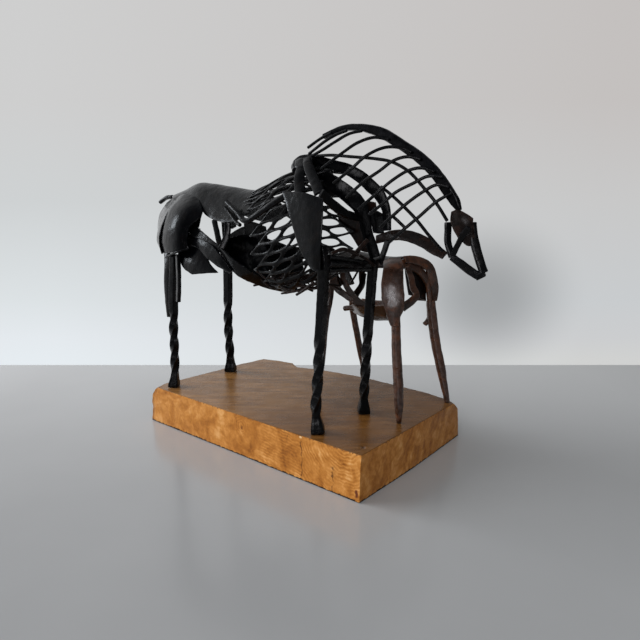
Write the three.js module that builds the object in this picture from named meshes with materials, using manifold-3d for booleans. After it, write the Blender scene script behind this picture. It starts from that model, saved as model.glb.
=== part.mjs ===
import * as THREE from 'three';
import { mergeVertices } from 'three/addons/utils/BufferGeometryUtils.js';
import Module from 'manifold-3d';

// Mare and foal, an open sculpture of black and brown steel on a slab of burl wood.
// Millimetres, +Z up. Every place is measured from the near front corner of the slab's
// underside: X runs the way the mare faces, Y from her near side to her far side, and the
// slab lies at negative X. The whole is then set on the middle of its own footprint.

// Driving sizes
const SLAB_THICK = 52;
const CLEARANCE = 0.3;
const LEG_BAR = 9.5;
const MANE_ROD = 3.2;
const PLATE = 2.2;
const STRAP = 2.6;
const MIDDLE_Y = 60;
const QUARTER_TWIST = 24;
const HOOF_HEIGHT = 18;
const RADIAN = Math.PI / 180;

const wasm = await Module();
wasm.setup();

const blackSteel = new THREE.MeshStandardMaterial({ color: '#25262a', roughness: 0.38, metalness: 0.8 });
const brownSteel = new THREE.MeshStandardMaterial({ color: '#5a4036', roughness: 0.42, metalness: 0.7 });
const burlWood = new THREE.MeshStandardMaterial({ color: '#b98748', roughness: 0.35, metalness: 0 });

const vector = ([x, y, z]) => new THREE.Vector3(x, y, z);
const smooth = (t) => t * t * (3 - 2 * t);
const { clamp, lerp } = THREE.MathUtils;

// Value at t, from 0 to 1, in a list spread evenly along a piece. One number stands for all.
function along(values, t) {
  if (!Array.isArray(values)) {
    return values;
  }
  const place = t * (values.length - 1);
  const low = Math.min(Math.floor(place), values.length - 2);
  return lerp(values[low], values[low + 1], place - low);
}

// Indexed triangles as a geometry with its faces pointing out
function closedGeometry(points, triangles) {
  const geometry = new THREE.BufferGeometry();
  geometry.setAttribute('position', new THREE.Float32BufferAttribute(points.flatMap((p) => p.toArray()), 3));
  let volume = 0;
  for (const [a, b, c] of triangles) {
    volume += points[a].dot(new THREE.Vector3().crossVectors(points[b], points[c]));
  }
  const outward = volume > 0 ? triangles : triangles.map(([a, b, c]) => [a, c, b]);
  geometry.setIndex(outward.flat());
  return mergeVertices(geometry, 1e-4);
}

// A skin over rings of equal point count, closed at both ends by flat caps
function skinned(rings, cap) {
  const count = rings[0].length;
  const last = (rings.length - 1) * count;
  const triangles = [];
  for (let start = 0; start < last; start += count) {
    for (let k = 0; k < count; k += 1) {
      const a = start + k;
      const b = start + (k + 1) % count;
      triangles.push([a, b, b + count], [a, b + count, a + count]);
    }
  }
  const fan = Array.from({ length: count - 2 }, (_, k) => [0, k + 1, k + 2]);
  for (const [a, b, c] of cap ?? fan) {
    triangles.push([a, c, b], [last + a, last + b, last + c]);
  }
  return closedGeometry(rings.flat(), triangles);
}

// A bar, strap or rod bent through its points. Its wide side looks along `face`, and it may
// be twisted and swollen by functions of the place along it. A path of many points is fine
// enough as it is, and a short one gets a ring between each two.
const MANY_POINTS = 6;

function bar({ path, wide, thick = wide, face = [0, -1, 0], sides = 4, steps, turn, swell }, grow) {
  const curve = new THREE.CatmullRomCurve3(path.map(vector), false, 'centripetal');
  const total = (path.length - 1) * (steps ?? (path.length < MANY_POINTS ? 2 : 1));
  const faces = Array.isArray(face[0]) ? face : [face];
  const corner = sides === 4 ? Math.SQRT2 : 1;
  const rings = [];
  for (let i = 0; i <= total; i += 1) {
    const t = i / total;
    const centre = curve.getPoint(t);
    const tangent = curve.getTangent(t);
    if (i === 0) centre.addScaledVector(tangent, -grow);
    if (i === total) centre.addScaledVector(tangent, grow);
    const normal = new THREE.Vector3(...[0, 1, 2].map((axis) => along(faces.length > 1
      ? faces.map((f) => f[axis]) : faces[0][axis], t)));
    normal.addScaledVector(tangent, -normal.dot(tangent)).normalize();
    normal.applyAxisAngle(tangent, turn ? turn(centre) : 0);
    const across = new THREE.Vector3().crossVectors(tangent, normal);
    const scale = swell ? swell(centre) : 1;
    const halfWide = along(wide, t) * scale / 2 + grow;
    const halfThick = along(thick, t) * scale / 2 + grow;
    rings.push(Array.from({ length: sides }, (_, k) => {
      const phi = (k + 0.5) * 2 * Math.PI / sides;
      return centre.clone()
        .addScaledVector(across, corner * halfWide * Math.cos(phi))
        .addScaledVector(normal, corner * halfThick * Math.sin(phi));
    }));
  }
  return skinned(rings);
}

const strap = (path, wide, face, thick = STRAP) => (grow) => bar({ path, wide, thick, face }, grow);
const rod = (path, wide = MANE_ROD) => (grow) => bar({ path, wide, sides: 5 }, grow);

// A closed sheet between two copies of one net of four-sided faces
function sheet(front, back, faces) {
  const triangles = [];
  const edges = new Map();
  for (const face of faces) {
    const [a, b, c, d] = face;
    const [e, f, g, h] = face.map((k) => k + front.length);
    triangles.push([a, b, c], [a, c, d], [e, g, f], [e, h, g]);
    face.forEach((from, k) => {
      const to = face[(k + 1) % 4];
      if (edges.has(`${to} ${from}`)) {
        edges.delete(`${to} ${from}`);
      } else {
        edges.set(`${from} ${to}`, [from, to]);
      }
    });
  }
  for (const [from, to] of edges.values()) {
    triangles.push([from, from + front.length, to + front.length], [from, to + front.length, to]);
  }
  return closedGeometry([...front, ...back], triangles);
}

// A sheet of even thickness over a net of points, rows by columns, smoothed both ways
function plate(rows, thick = PLATE, fine = 2) {
  const spline = (points) => new THREE.CatmullRomCurve3(points, false, 'centripetal');
  const across = (rows[0].length - 1) * fine;
  const down = (rows.length - 1) * fine;
  const rowCurves = rows.map((row) => spline(row.map(vector)));
  const net = Array.from({ length: down + 1 }, () => []);
  for (let j = 0; j <= across; j += 1) {
    const column = spline(rowCurves.map((curve) => curve.getPoint(j / across)));
    for (let i = 0; i <= down; i += 1) {
      net[i].push(column.getPoint(i / down));
    }
  }
  const at = (i, j) => net[clamp(i, 0, down)][clamp(j, 0, across)];
  return (grow) => {
    const front = [];
    const back = [];
    for (let i = 0; i <= down; i += 1) {
      for (let j = 0; j <= across; j += 1) {
        const u = at(i + 1, j).clone().sub(at(i - 1, j)).normalize();
        const v = at(i, j + 1).clone().sub(at(i, j - 1)).normalize();
        const normal = new THREE.Vector3().crossVectors(u, v).normalize();
        const middle = at(i, j).clone();
        middle.addScaledVector(u, grow * ((i === down) - (i === 0)));
        middle.addScaledVector(v, grow * ((j === across) - (j === 0)));
        front.push(middle.clone().addScaledVector(normal, thick / 2 + grow));
        back.push(middle.clone().addScaledVector(normal, -thick / 2 - grow));
      }
    }
    const faces = [];
    for (let i = 0; i < down; i += 1) {
      for (let j = 0; j < across; j += 1) {
        const a = i * (across + 1) + j;
        faces.push([a, a + 1, a + across + 2, a + across + 1]);
      }
    }
    return sheet(front, back, faces);
  };
}

// A sheet bent over an animal's back. Each station has a point on the ridge and one on the
// near edge, and the far side mirrors the near one.
function saddle(stations, ridgeY) {
  const spread = [-3, -2, -1, 0, 1, 2, 3];
  const rows = stations.map(({ ridge: [ridgeX, ridgeZ], edge: [edgeX, edgeY, edgeZ] }) => spread.map((k) => {
    const share = Math.abs(k) / 3;
    const angle = share * Math.PI / 2;
    return [
      lerp(ridgeX, edgeX, share),
      ridgeY + Math.sign(k) * (ridgeY - edgeY) * Math.sin(angle),
      edgeZ + (ridgeZ - edgeZ) * Math.cos(angle),
    ];
  }));
  return plate(rows, PLATE, 1);
}

// The slab is sawn straight at the near side and the front, with live edges behind. Each
// corner of its top has a lean, the step from there down to the underside. Most of the lean
// at the worn rear end lies in the top 12 mm.
const SLAB_TOP = [
  [0, 0], [2.5, 100], [5, 201], [-6, 210], [-14.5, 213], [-48, 220], [-88, 222], [-141, 225],
  [-176, 223], [-211, 218.5], [-240, 212], [-266, 203], [-288, 216], [-316, 212], [-343, 204],
  [-349, 160], [-351, 101], [-355, 45], [-357, 19], [-350, 0], [-180, 0],
];
const SLAB_LEAN = [
  [-1, -1], [0, 2], [-3, 23], [0, 17], [0, 15], [0, 14], [2, 13], [0, 14], [1, 12], [0, 12], [2, 12],
  [2, 13], [0, 12], [-4, 12], [-9, 12], [-12, 3], [-13, 0], [-10, 0], [-9, 0], [-16, 0], [0, 0],
];
const SLAB_WORN_HEIGHT = 40;

function slab(grow) {
  const middle = new THREE.Vector2(-178, 108);
  const level = (share, z) => SLAB_TOP.map(([x, y], k) => {
    const [leanX, leanY] = SLAB_LEAN[k];
    const out = new THREE.Vector2(x + leanX * share, y + leanY * share).sub(middle);
    out.setLength(out.length() + grow);
    return new THREE.Vector3(out.x + middle.x, out.y + middle.y, z);
  });
  const cap = THREE.ShapeUtils.triangulateShape(SLAB_TOP.map(([x, y]) => new THREE.Vector2(x, y)), []);
  return skinned([
    level(1, -grow),
    level(0.7, SLAB_WORN_HEIGHT),
    level(0, SLAB_THICK + grow),
  ], cap);
}

// A leg of square bar: twisted between two heights, straight above, flared into a hoof below
function leg({ path, twistTop, twistFoot = 72, hoof, wide = LEG_BAR }) {
  const startTurn = 45 * RADIAN;
  return (grow) => bar({
    path: path.map(([x, y, z]) => [x, y, Math.max(z, SLAB_THICK + CLEARANCE)]),
    wide,
    thick: LEG_BAR,
    face: [-0.63, -0.78, 0],
    steps: 3,
    turn: (p) => startTurn - 90 * RADIAN * (twistTop - clamp(p.z, twistFoot, twistTop)) / QUARTER_TWIST,
    swell: (p) => 1 + (hoof / LEG_BAR - 1)
      * smooth(clamp((SLAB_THICK + HOOF_HEIGHT - p.z) / (0.8 * HOOF_HEIGHT), 0, 1)),
  }, grow);
}

// A foal's leg: round bar forged to a point below
const foalLeg = (path, wide) => (grow) => bar({
  path: path.map(([x, y, z]) => [x, y, Math.max(z, SLAB_THICK + CLEARANCE)]), wide, sides: 6,
}, grow);

// The rib cage is one sheet of stretched mesh rolled into a barrel. Its strands cross in two
// directions, each given as a step along X and a step round the sheet.
const RIBS = {
  x: [-206, -172, -140, -110, -72],
  top: [317, 327, 338, 341, 337],
  bottom: [217, 200, 197, 205, 226],
  half: [36, 40, 41, 41, 36],
  thick: 2.2,
  strand: 1.9,
  alongStrand: [29.5, 2],
  upStrand: [16, 12.7],
  anchor: [-134, -31],
  seamLow: -125,
  seamHigh: 208,
  rearLow: -178,
  rearLean: 30,
  front: -74,
  meanHalfWide: 41,
  meanHalfHigh: 66,
};

function ribValue(values, x) {
  const stations = RIBS.x;
  let k = 0;
  while (k < stations.length - 2 && x > stations[k + 1]) {
    k += 1;
  }
  const share = clamp((x - stations[k]) / (stations[k + 1] - stations[k]), -0.3, 1.3);
  return lerp(values[k], values[k + 1], share);
}

// Angle round the barrel, up from its near side, at a distance measured along the sheet
function ribAngle(distance) {
  const step = 2 * RADIAN;
  const paceAt = (angle) => step * Math.hypot(
    RIBS.meanHalfWide * Math.sin(angle),
    RIBS.meanHalfHigh * Math.cos(angle),
  );
  let angle = 0;
  let left = Math.abs(distance);
  while (left > paceAt(angle)) {
    left -= paceAt(angle);
    angle += step;
  }
  return Math.sign(distance) * (angle + step * left / paceAt(angle));
}

function ribPoint(x, distance, inward) {
  const top = ribValue(RIBS.top, x) - inward;
  const bottom = ribValue(RIBS.bottom, x) + inward;
  const angle = ribAngle(distance);
  return new THREE.Vector3(
    x,
    MIDDLE_Y - (ribValue(RIBS.half, x) - inward) * Math.cos(angle),
    (top + bottom) / 2 + (top - bottom) / 2 * Math.sin(angle),
  );
}

function ribMesh(grow) {
  const [ax, ay] = RIBS.alongStrand;
  const [bx, by] = RIBS.upStrand;
  const reach = 24;
  const place = (i, j) => [RIBS.anchor[0] + i * ax + j * bx, RIBS.anchor[1] + i * ay + j * by];
  const inside = (i, j) => {
    const [x, distance] = place(i, j);
    const rear = RIBS.rearLow - RIBS.rearLean * Math.max(0, Math.sin(ribAngle(distance))) ** 2;
    return x > rear && x < RIBS.front && distance > RIBS.seamLow && distance < RIBS.seamHigh;
  };
  const half = RIBS.strand + grow;
  const sine = Math.abs(ax * by - ay * bx) / (Math.hypot(ax, ay) * Math.hypot(bx, by));
  const alongHalf = half / sine / Math.hypot(ax, ay);
  const upHalf = half / sine / Math.hypot(bx, by);
  const front = [];
  const back = [];
  const numbers = new Map();
  const corner = (i, j, signA, signB) => {
    const key = `${i} ${j} ${signA} ${signB}`;
    if (!numbers.has(key)) {
      const [x, distance] = place(i + signA * alongHalf, j + signB * upHalf);
      numbers.set(key, front.length);
      front.push(ribPoint(x, distance, -grow));
      back.push(ribPoint(x, distance, RIBS.thick + grow));
    }
    return numbers.get(key);
  };
  const faces = [];
  for (let i = -reach; i <= reach; i += 1) {
    for (let j = -reach; j <= reach; j += 1) {
      if (inside(i, j)) {
        faces.push([corner(i, j, -1, -1), corner(i, j, 1, -1), corner(i, j, 1, 1), corner(i, j, -1, 1)]);
        if (inside(i + 1, j)) {
          faces.push([corner(i, j, 1, -1), corner(i + 1, j, -1, -1), corner(i + 1, j, -1, 1),
            corner(i, j, 1, 1)]);
        }
        if (inside(i, j + 1)) {
          faces.push([corner(i, j, -1, 1), corner(i, j, 1, 1), corner(i, j + 1, 1, -1),
            corner(i, j + 1, -1, -1)]);
        }
      }
    }
  }
  return sheet(front, back, faces);
}

// Every piece in order. Where two meet, the later one is cut clear of the earlier one. A piece
// with several makers is those parts welded into one.
const pieces = [];
const addPiece = (name, material, ...makers) => pieces.push({ name, material, makers });

function addMareLegs() {
  addPiece('leg_fore_near', blackSteel, leg({
    path: [[-71, 18, 52], [-74, 18, 78], [-72, 18, 107], [-70, 18, 130], [-69, 18, 152], [-67, 18, 174],
      [-65, 18, 201], [-64, 18, 222], [-64, 18, 241], [-67, 18, 258]],
    twistTop: 160,
    hoof: 15,
  }));
  addPiece('leg_fore_far', blackSteel, leg({
    path: [[-67, 101, 52], [-67, 101, 74], [-66, 101, 95], [-65, 101, 113], [-64, 101, 137],
      [-62, 101, 168], [-60, 101, 197], [-58, 101, 224], [-54, 98, 241]],
    twistTop: 158,
    hoof: 14.5,
  }));
  addPiece('leg_hind_near', blackSteel, leg({
    path: [[-333, 18, 52], [-329, 18, 72], [-328, 18, 91], [-327, 18, 112], [-327, 18, 134],
      [-325, 18, 155], [-324, 18, 176], [-320, 18, 210], [-320, 20, 238]],
    twistTop: 160,
    hoof: 14,
  }));
  addPiece('leg_hind_far', blackSteel, leg({
    path: [[-328, 119, 52], [-328, 119, 78], [-329, 119, 95], [-330, 119, 112], [-330, 119, 128],
      [-330, 119, 145], [-328, 119, 178], [-326, 118, 206], [-317, 112, 228]],
    twistTop: 162,
    hoof: 14,
    wide: 11,
  }));
}

function addHindQuarters() {
  addPiece('croup_plate', blackSteel, saddle([
    { ridge: [-374, 314.5], edge: [-352, 46, 310] },
    { ridge: [-340, 322.5], edge: [-322, 41, 308] },
    { ridge: [-312, 330], edge: [-284, 33, 300] },
    { ridge: [-283, 328], edge: [-257, 28, 286] },
    { ridge: [-250, 323.5], edge: [-228, 25, 280] },
    { ridge: [-222, 319.5], edge: [-204, 24, 281] },
    { ridge: [-200, 317], edge: [-181, 27, 291] },
  ], 62));
  addPiece('haunch_plate_near', blackSteel, plate([
    [[-326, 46, 315], [-303, 43, 315], [-283, 37, 308]],
    [[-326, 27, 294], [-290, 20, 296], [-263, 24, 289]],
    [[-334, 20, 270], [-293, 9, 275], [-276, 16, 275]],
    [[-334, 17, 252], [-294, 7, 256], [-280, 13, 258]],
    [[-324, 13, 235], [-293, 7, 242], [-278, 13, 246]],
  ]));
  addPiece('haunch_plate_far', blackSteel, plate([
    [[-298, 100, 263], [-271, 99, 273], [-250, 100, 274], [-243, 102, 256]],
    [[-312, 104, 245], [-278, 106, 254], [-245, 106, 251], [-193, 106, 248]],
    [[-308, 105, 231], [-275, 108, 235], [-235, 107, 234], [-187, 106, 235]],
    [[-286, 102, 221], [-260, 104, 217], [-229, 104, 216], [-192, 104, 221]],
  ], PLATE, 1));
  addPiece('buttock_strap', blackSteel, strap(
    [[-370, 58.5, 311.5], [-383, 54, 291], [-385, 48, 276], [-379, 42, 262], [-366, 34, 246], [-351, 27, 233]],
    [12, 14.5, 15, 14.5, 13, 9],
    [-0.25, -1, 0.1],
  ));
  addPiece('buttock_band', blackSteel, strap(
    [[-345, 51, 314], [-352, 41, 291], [-354, 35, 277], [-354, 30, 262], [-350, 25, 247], [-342, 21, 233],
      [-341, 20, 218], [-340, 17, 195], [-336, 16, 171], [-333, 15, 152]],
    [15, 16, 15, 14, 13, 12, 10, 8.5, 8, 6],
    [-0.3, -1, 0],
  ));
  addPiece('thigh_bar', blackSteel, strap(
    [[-304, 14, 238], [-301, 12, 218], [-302, 12, 199], [-305, 12, 176]], 8, [-0.3, -1, 0], 5,
  ));
  addPiece('thigh_flap', blackSteel, plate([
    [[-313, 20, 243], [-288, 25, 256], [-262, 25, 251]],
    [[-294, 14, 222], [-267, 14, 230], [-244, 18, 230]],
    [[-273, 12, 214], [-247, 13, 217], [-227, 17, 219]],
  ]));
  addPiece('tail_stub', blackSteel, rod([[-374, 62, 314], [-389, 62, 313], [-405, 62, 307]], 6));
  const fanFoot = [-222, 17, 247];
  addPiece(
    'flank_bars',
    blackSteel,
    strap([[-283, 32, 295], [-285, 28, 281], [-281, 24, 270], [-258, 19, 262.5], [-239, 17, 255], fanFoot],
      [15, 16, 15, 9, 7, 7], [[0.6, -0.8, 0], [0.6, -0.8, 0], [0.5, -0.9, 0.2], [0, -1, 0.2], [0, -1, 0.2]]),
    strap([[-244, 27, 283], [-236, 23, 271], fanFoot], 7, [-0.3, -1, 0]),
    strap([[-219, 27, 281], [-218, 24, 265], fanFoot], 8.5, [-0.3, -1, 0]),
  );
  addPiece('flank_bar_far', blackSteel, strap([[-300, 98, 297], [-296, 102, 284], [-291, 101, 271]], 10, [0, 1, 0]));
}

function addBarrel() {
  addPiece('belly_strap', blackSteel, strap(
    [[-295, 25, 255], [-262, 18, 253], [-238, 14, 244], [-220, 13, 234], [-204, 17, 222]],
    [10, 13, 19, 17, 6],
    [[-0.2, -1, 0.1], [0, -1, 0.1], [0.2, -1, 0], [0.2, -1, -0.3], [0.2, -1, -0.5]],
  ));
  addPiece('belly_keel', blackSteel, strap(
    [[-222, 17, 247], [-204, 16, 233], [-191, 21, 223], [-185, 31, 216], [-178, 44, 209], [-163, 53, 203],
      [-147, 57, 200]],
    [7, 14, 18, 17, 13, 9, 6],
    [[-0.2, -1, -0.2], [-0.1, -1, -0.3], [0.1, -1, -0.4], [0.2, -1, -0.5], [0.2, -1, -0.6], [0.1, -0.7, -0.8]],
  ));
  addPiece('rib_mesh', blackSteel, ribMesh);
  addPiece('hairpin_bar', blackSteel, (grow) => bar({
    path: [[-216, 24, 304], [-191, 18, 291], [-179, 14.5, 283.5], [-171, 14, 282], [-163, 14.5, 285.5],
      [-137, 15, 298], [-115, 19.5, 310]],
    wide: 6,
    sides: 5,
    steps: 2,
  }, grow));
}

function addShoulder() {
  addPiece('shoulder_plate_near', blackSteel, plate([
    [[-120, 24, 313], [-90, 19, 312], [-64, 18, 305]],
    [[-107, 18, 294], [-79, 12, 293], [-60, 13, 292]],
    [[-98, 16, 275], [-75, 10, 274], [-59, 10, 274]],
    [[-89, 15, 255], [-71, 9, 255], [-60, 9, 256]],
    [[-74, 12, 235], [-66, 9, 232], [-60, 9, 233]],
  ]));
  addPiece('shoulder_plate_far', brownSteel, plate([
    [[-110, 101, 291], [-94, 100, 292], [-79, 98, 292]],
    [[-107, 102, 282], [-91, 101, 278], [-72, 100, 276]],
    [[-87, 101, 263], [-80, 102, 260], [-68, 101, 259]],
    [[-77, 103, 248], [-70, 104, 246], [-61, 103, 246]],
  ]));
  addPiece(
    'withers_straps',
    blackSteel,
    strap([[-126, 45, 337], [-133, 52, 343], [-135, 57, 347], [-128, 58, 351], [-112, 59, 352]],
      6, [0, -1, 0], 6),
    plate([
      [[-133, 55, 348], [-122, 53, 350], [-108, 56, 349]],
      [[-127, 46, 339], [-116, 44, 339], [-107, 45, 340]],
    ], 5, 1),
    strap([[-114, 45, 340], [-110, 36, 330], [-106, 30, 320], [-99, 25.5, 311]], 8, [0.1, -1, 0.8]),
    strap([[-111, 53, 349], [-106, 45, 341], [-97, 38, 332], [-83, 30, 320], [-71, 23, 310]], 9.5, [0.1, -1, 0.8]),
  );
  addPiece(
    'chest_bars',
    blackSteel,
    strap([[-62, 24, 245], [-60, 50, 241], [-56, 95, 233]], 7.5, [-0.6, -0.6, 0.4], 5),
    strap([[-62, 24, 232], [-59, 55, 231], [-57, 95, 228]], 5.5, [-0.6, -0.6, 0.4], 5),
    strap([[-59, 22, 239], [-57, 52, 236], [-58, 90, 230]], 5.5, [-0.6, -0.6, 0.4], 5),
  );
  addPiece('breast_strap', blackSteel, strap(
    [[-66, 20, 307], [-68, 33, 301], [-68, 46, 294], [-65, 64, 290], [-63, 76, 290]], 7.5, [0.2, -0.8, 0.8],
  ));
}

function addNeck() {
  addPiece('neck_strap_upper', blackSteel, strap(
    [[-105, 60, 347], [-91, 64, 343], [-71, 68, 337], [-58, 74, 329], [-48, 80, 319], [-39, 84, 309],
      [-32, 86, 294], [-30, 86, 272]],
    [7, 10, 11.5, 13, 13.5, 12.5, 9.5, 8.5],
    [0.3, -1, 0.1],
  ));
  addPiece('neck_strap_lower', blackSteel, strap(
    [[-101, 62, 329], [-82, 66, 319], [-70, 72, 309], [-61, 78, 298], [-58, 82, 286], [-57, 87, 270],
      [-54, 93, 254], [-52, 97, 242]],
    [14, 16, 18, 17.5, 13.5, 12.5, 12.5, 12.5],
    [0.3, -1, 0.1],
  ));
  addPiece('chest_plate', blackSteel, plate([
    [[-54, 86, 293], [-47, 88, 294], [-36, 87, 290]],
    [[-53, 88, 281], [-46, 90, 281], [-36, 88, 279]],
    [[-51, 90, 269], [-45, 91, 268], [-36, 89, 269]],
  ]));
  addPiece('chest_strap', blackSteel, strap([[-27, 83, 262], [-35, 89, 250], [-45, 96, 236]], 7.5, [-0.3, -1, 0]));
  addPiece('throat_strap', blackSteel, strap(
    [[-42, 87, 265], [-10, 80, 266], [6, 76, 264], [20, 72, 262], [33, 68, 258], [48, 64, 251]],
    [9, 12, 12, 12, 11.5, 7.5],
    [0.2, -1, 0.3],
  ));
  addPiece('crest_strip', blackSteel, (grow) => bar({
    path: [[-95, 59, 372], [-70, 59, 378], [-49, 59, 377], [-24, 59, 370], [-1, 59, 357], [22, 59, 342],
      [39, 59, 327], [52, 59, 311], [60, 59, 300.5], [65, 58.5, 292.5]],
    wide: [9, 9, 9, 9, 9, 9, 9, 9, 7.5, 4.5],
    thick: [5.5, 6, 7, 10, 9.5, 10, 10, 10, 9, 5],
    face: [0.3, 0, 1],
    steps: 2,
  }, grow));
}

// The rods of the mane rise from the near side of the neck to the crest, and three stringers
// run across them.
function addMane() {
  const rods = [
    [[-114, 53, 361], [-96, 54, 369.5], [-82, 55, 374]],
    [[-110, 50, 354], [-99, 49, 359], [-87, 49, 365], [-73, 51, 371], [-60, 52, 374]],
    [[-103, 46, 351], [-87, 45, 356], [-71, 46, 363], [-55, 49, 370], [-41, 52, 372]],
    [[-81, 36, 336], [-61, 41, 349], [-42, 46, 360], [-25, 50, 364], [-10, 53, 361]],
    [[-60, 29, 320], [-43, 35, 333], [-29, 42, 346], [-11, 47, 353], [5, 50, 352], [16, 53, 347]],
    [[-43, 28, 305], [-27, 34, 320], [-11, 40, 331], [1, 45, 340], [14, 49, 343], [26, 53, 340]],
    [[-28, 28, 294], [-12, 34, 308], [2, 41, 321], [17, 46, 330], [29, 50, 332], [41, 53, 328]],
    [[-15, 28, 289], [-4, 32, 298], [9, 38, 310], [24, 44, 318], [36, 49, 324], [49, 53, 323]],
    [[-2, 28, 277], [9, 31, 287], [22, 38, 300], [36, 45, 311], [46, 49, 316], [56, 53, 314]],
    [[7, 29, 262], [22, 34, 276], [34, 41, 288], [46, 47, 300], [59, 54, 309]],
  ];
  const stringers = [
    [[-109, 56, 352], [-82, 52, 351], [-50, 48, 347], [-20, 47, 343], [-2, 47, 339], [17, 47, 329],
      [34, 49, 312], [46, 51, 298], [55, 55, 283]],
    [[-11, 42, 316], [4, 39, 307], [19, 37, 296], [32, 38, 284], [43, 44, 269], [53, 52, 255]],
    [[9, 34, 287], [15, 35, 282], [22, 36, 276]],
  ];
  rods.forEach((path, k) => addPiece(`mane_rod_${k + 1}`, blackSteel, rod(path)));
  stringers.forEach((path, k) => addPiece(`mane_stringer_${k + 1}`, blackSteel, rod(path)));
}

function addHead() {
  addPiece('brow_plate', blackSteel, plate([
    [[57, 57, 291], [64, 56, 294], [72, 57, 291], [79, 58.5, 286]],
    [[59, 56, 282], [67, 53.5, 282], [73, 54.5, 281], [79, 58, 279]],
    [[62, 57, 272], [69, 55, 270], [74, 56, 271], [79, 58.5, 269.5]],
  ], 3));
  const chin = [59, 60, 249];
  const nose = [93, 60, 235];
  addPiece(
    'head_frame',
    blackSteel,
    strap([[52, 61, 283], [52.5, 61, 274], [52, 61, 265], [55, 60.5, 255], chin], 6.5, [0, -1, 0], 5),
    strap([[76, 61, 286], [76.5, 61, 273], [79.5, 60.5, 263.5], [84, 60, 255.5], [87.5, 60, 247], nose],
      [7, 7.5, 8.5, 8.5, 8, 8], [0, -1, 0], 6),
    strap([nose, [78, 60, 237], chin], [7, 8, 7.5], [0, -1, 0], 6),
    strap([[69, 58.5, 269], [64, 59, 258], chin], 5.5, [0, -1, 0], 4),
  );
}

// The foal, in brown steel on the mare's far side, faces back along her belly.
function addFoalLegs() {
  addPiece('foal_leg_hind_near', brownSteel, foalLeg(
    [[-16, 98.5, 52], [-17, 99, 74], [-19, 100, 97], [-24, 102, 137], [-27, 104, 180]],
    [5.5, 10.5, 11.5, 11, 10],
  ));
  addPiece('foal_leg_hind_far', brownSteel, foalLeg(
    [[-5, 200, 52], [-14, 197, 94], [-22, 193, 133], [-27, 190, 165]],
    [7, 11.5, 12, 12.5],
  ));
  addPiece('foal_leg_fore_far', brownSteel, foalLeg(
    [[-136, 209, 52], [-143, 204, 91], [-148, 198, 128], [-150, 191, 160]],
    [7, 9, 9, 9],
  ));
  addPiece('foal_leg_fore_near', brownSteel, foalLeg(
    [[-141, 102, 52], [-140, 104, 78], [-137, 106, 105], [-134, 110, 158], [-133, 114, 180]],
    [7, 9, 9.5, 9.5, 9],
  ));
}

function addFoalBody() {
  addPiece('foal_haunch_strap', brownSteel, strap(
    [[-46, 124, 237], [-36, 110, 230], [-31, 101, 213], [-28, 98, 199], [-25, 96.5, 189], [-25, 97, 181]],
    [20, 23, 25, 25, 21, 12],
    [[0, -0.3, 1], [0.3, -0.8, 0.6], [0.45, -0.9, 0], [0.45, -0.9, 0], [0.45, -0.9, 0], [0.45, -0.9, -0.1]],
  ));
  addPiece('foal_haunch_far', brownSteel, plate([
    [[-48, 174, 222], [-40, 176, 223], [-33, 178, 222]],
    [[-45, 178, 201], [-38, 181, 201], [-32, 182, 202]],
    [[-42, 178, 183], [-36, 180, 183], [-31, 182, 183]],
  ]));
  addPiece('foal_hip_arch', brownSteel, strap(
    [[-53, 126, 234], [-44, 138, 232], [-37, 152, 229], [-31, 166, 221], [-28, 178, 207], [-27, 184, 187],
      [-26, 187, 172]],
    [10, 10.5, 11.5, 13, 13, 13, 12],
    [[1, -0.2, 0.6], [1, 0, 0.4], [1, 0.2, 0.3], [1, 0.3, 0.2], [1, 0.3, 0], [1, 0.2, 0], [1, 0, 0]],
    5,
  ));
  addPiece('foal_rump_strap', brownSteel, strap(
    [[-41, 142, 238], [-35, 156, 236], [-30, 170, 232], [-24, 180, 225], [-23, 190, 208], [-23, 194, 195],
      [-24, 194, 186]],
    [7, 8, 9, 10, 10, 9, 7],
    [1, 0.4, 0.5],
  ));
  addPiece('foal_flank_loop', brownSteel, strap(
    [[-34, 138, 229], [-26, 133, 218], [-20, 128, 207], [-13, 124, 199], [-16, 117, 192], [-21, 107, 186]],
    [6, 6, 6.5, 7, 8, 9],
    [0.8, -0.6, -0.1],
  ));
  addPiece('foal_back_plate', brownSteel, saddle([
    { ridge: [-134, 246], edge: [-130, 122, 230] },
    { ridge: [-100, 241], edge: [-100, 118, 227] },
    { ridge: [-68, 238], edge: [-68, 118, 227] },
    { ridge: [-43, 239], edge: [-43, 122, 229] },
  ], 148));
  addPiece('foal_belly_plate', brownSteel, plate([
    [[-39, 111, 188], [-52, 125, 170], [-62, 150, 161], [-66, 172, 168], [-66, 184, 182]],
    [[-69, 118, 182], [-77, 134, 166], [-84, 152, 158], [-88, 176, 164], [-88, 188, 178]],
    [[-93, 124, 178], [-98, 138, 166], [-104, 154, 159], [-108, 178, 162], [-108, 190, 176]],
    [[-109, 131, 178], [-119, 146, 172], [-126, 160, 162], [-131, 178, 164], [-134, 190, 176]],
  ], PLATE, 1));
}

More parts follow.
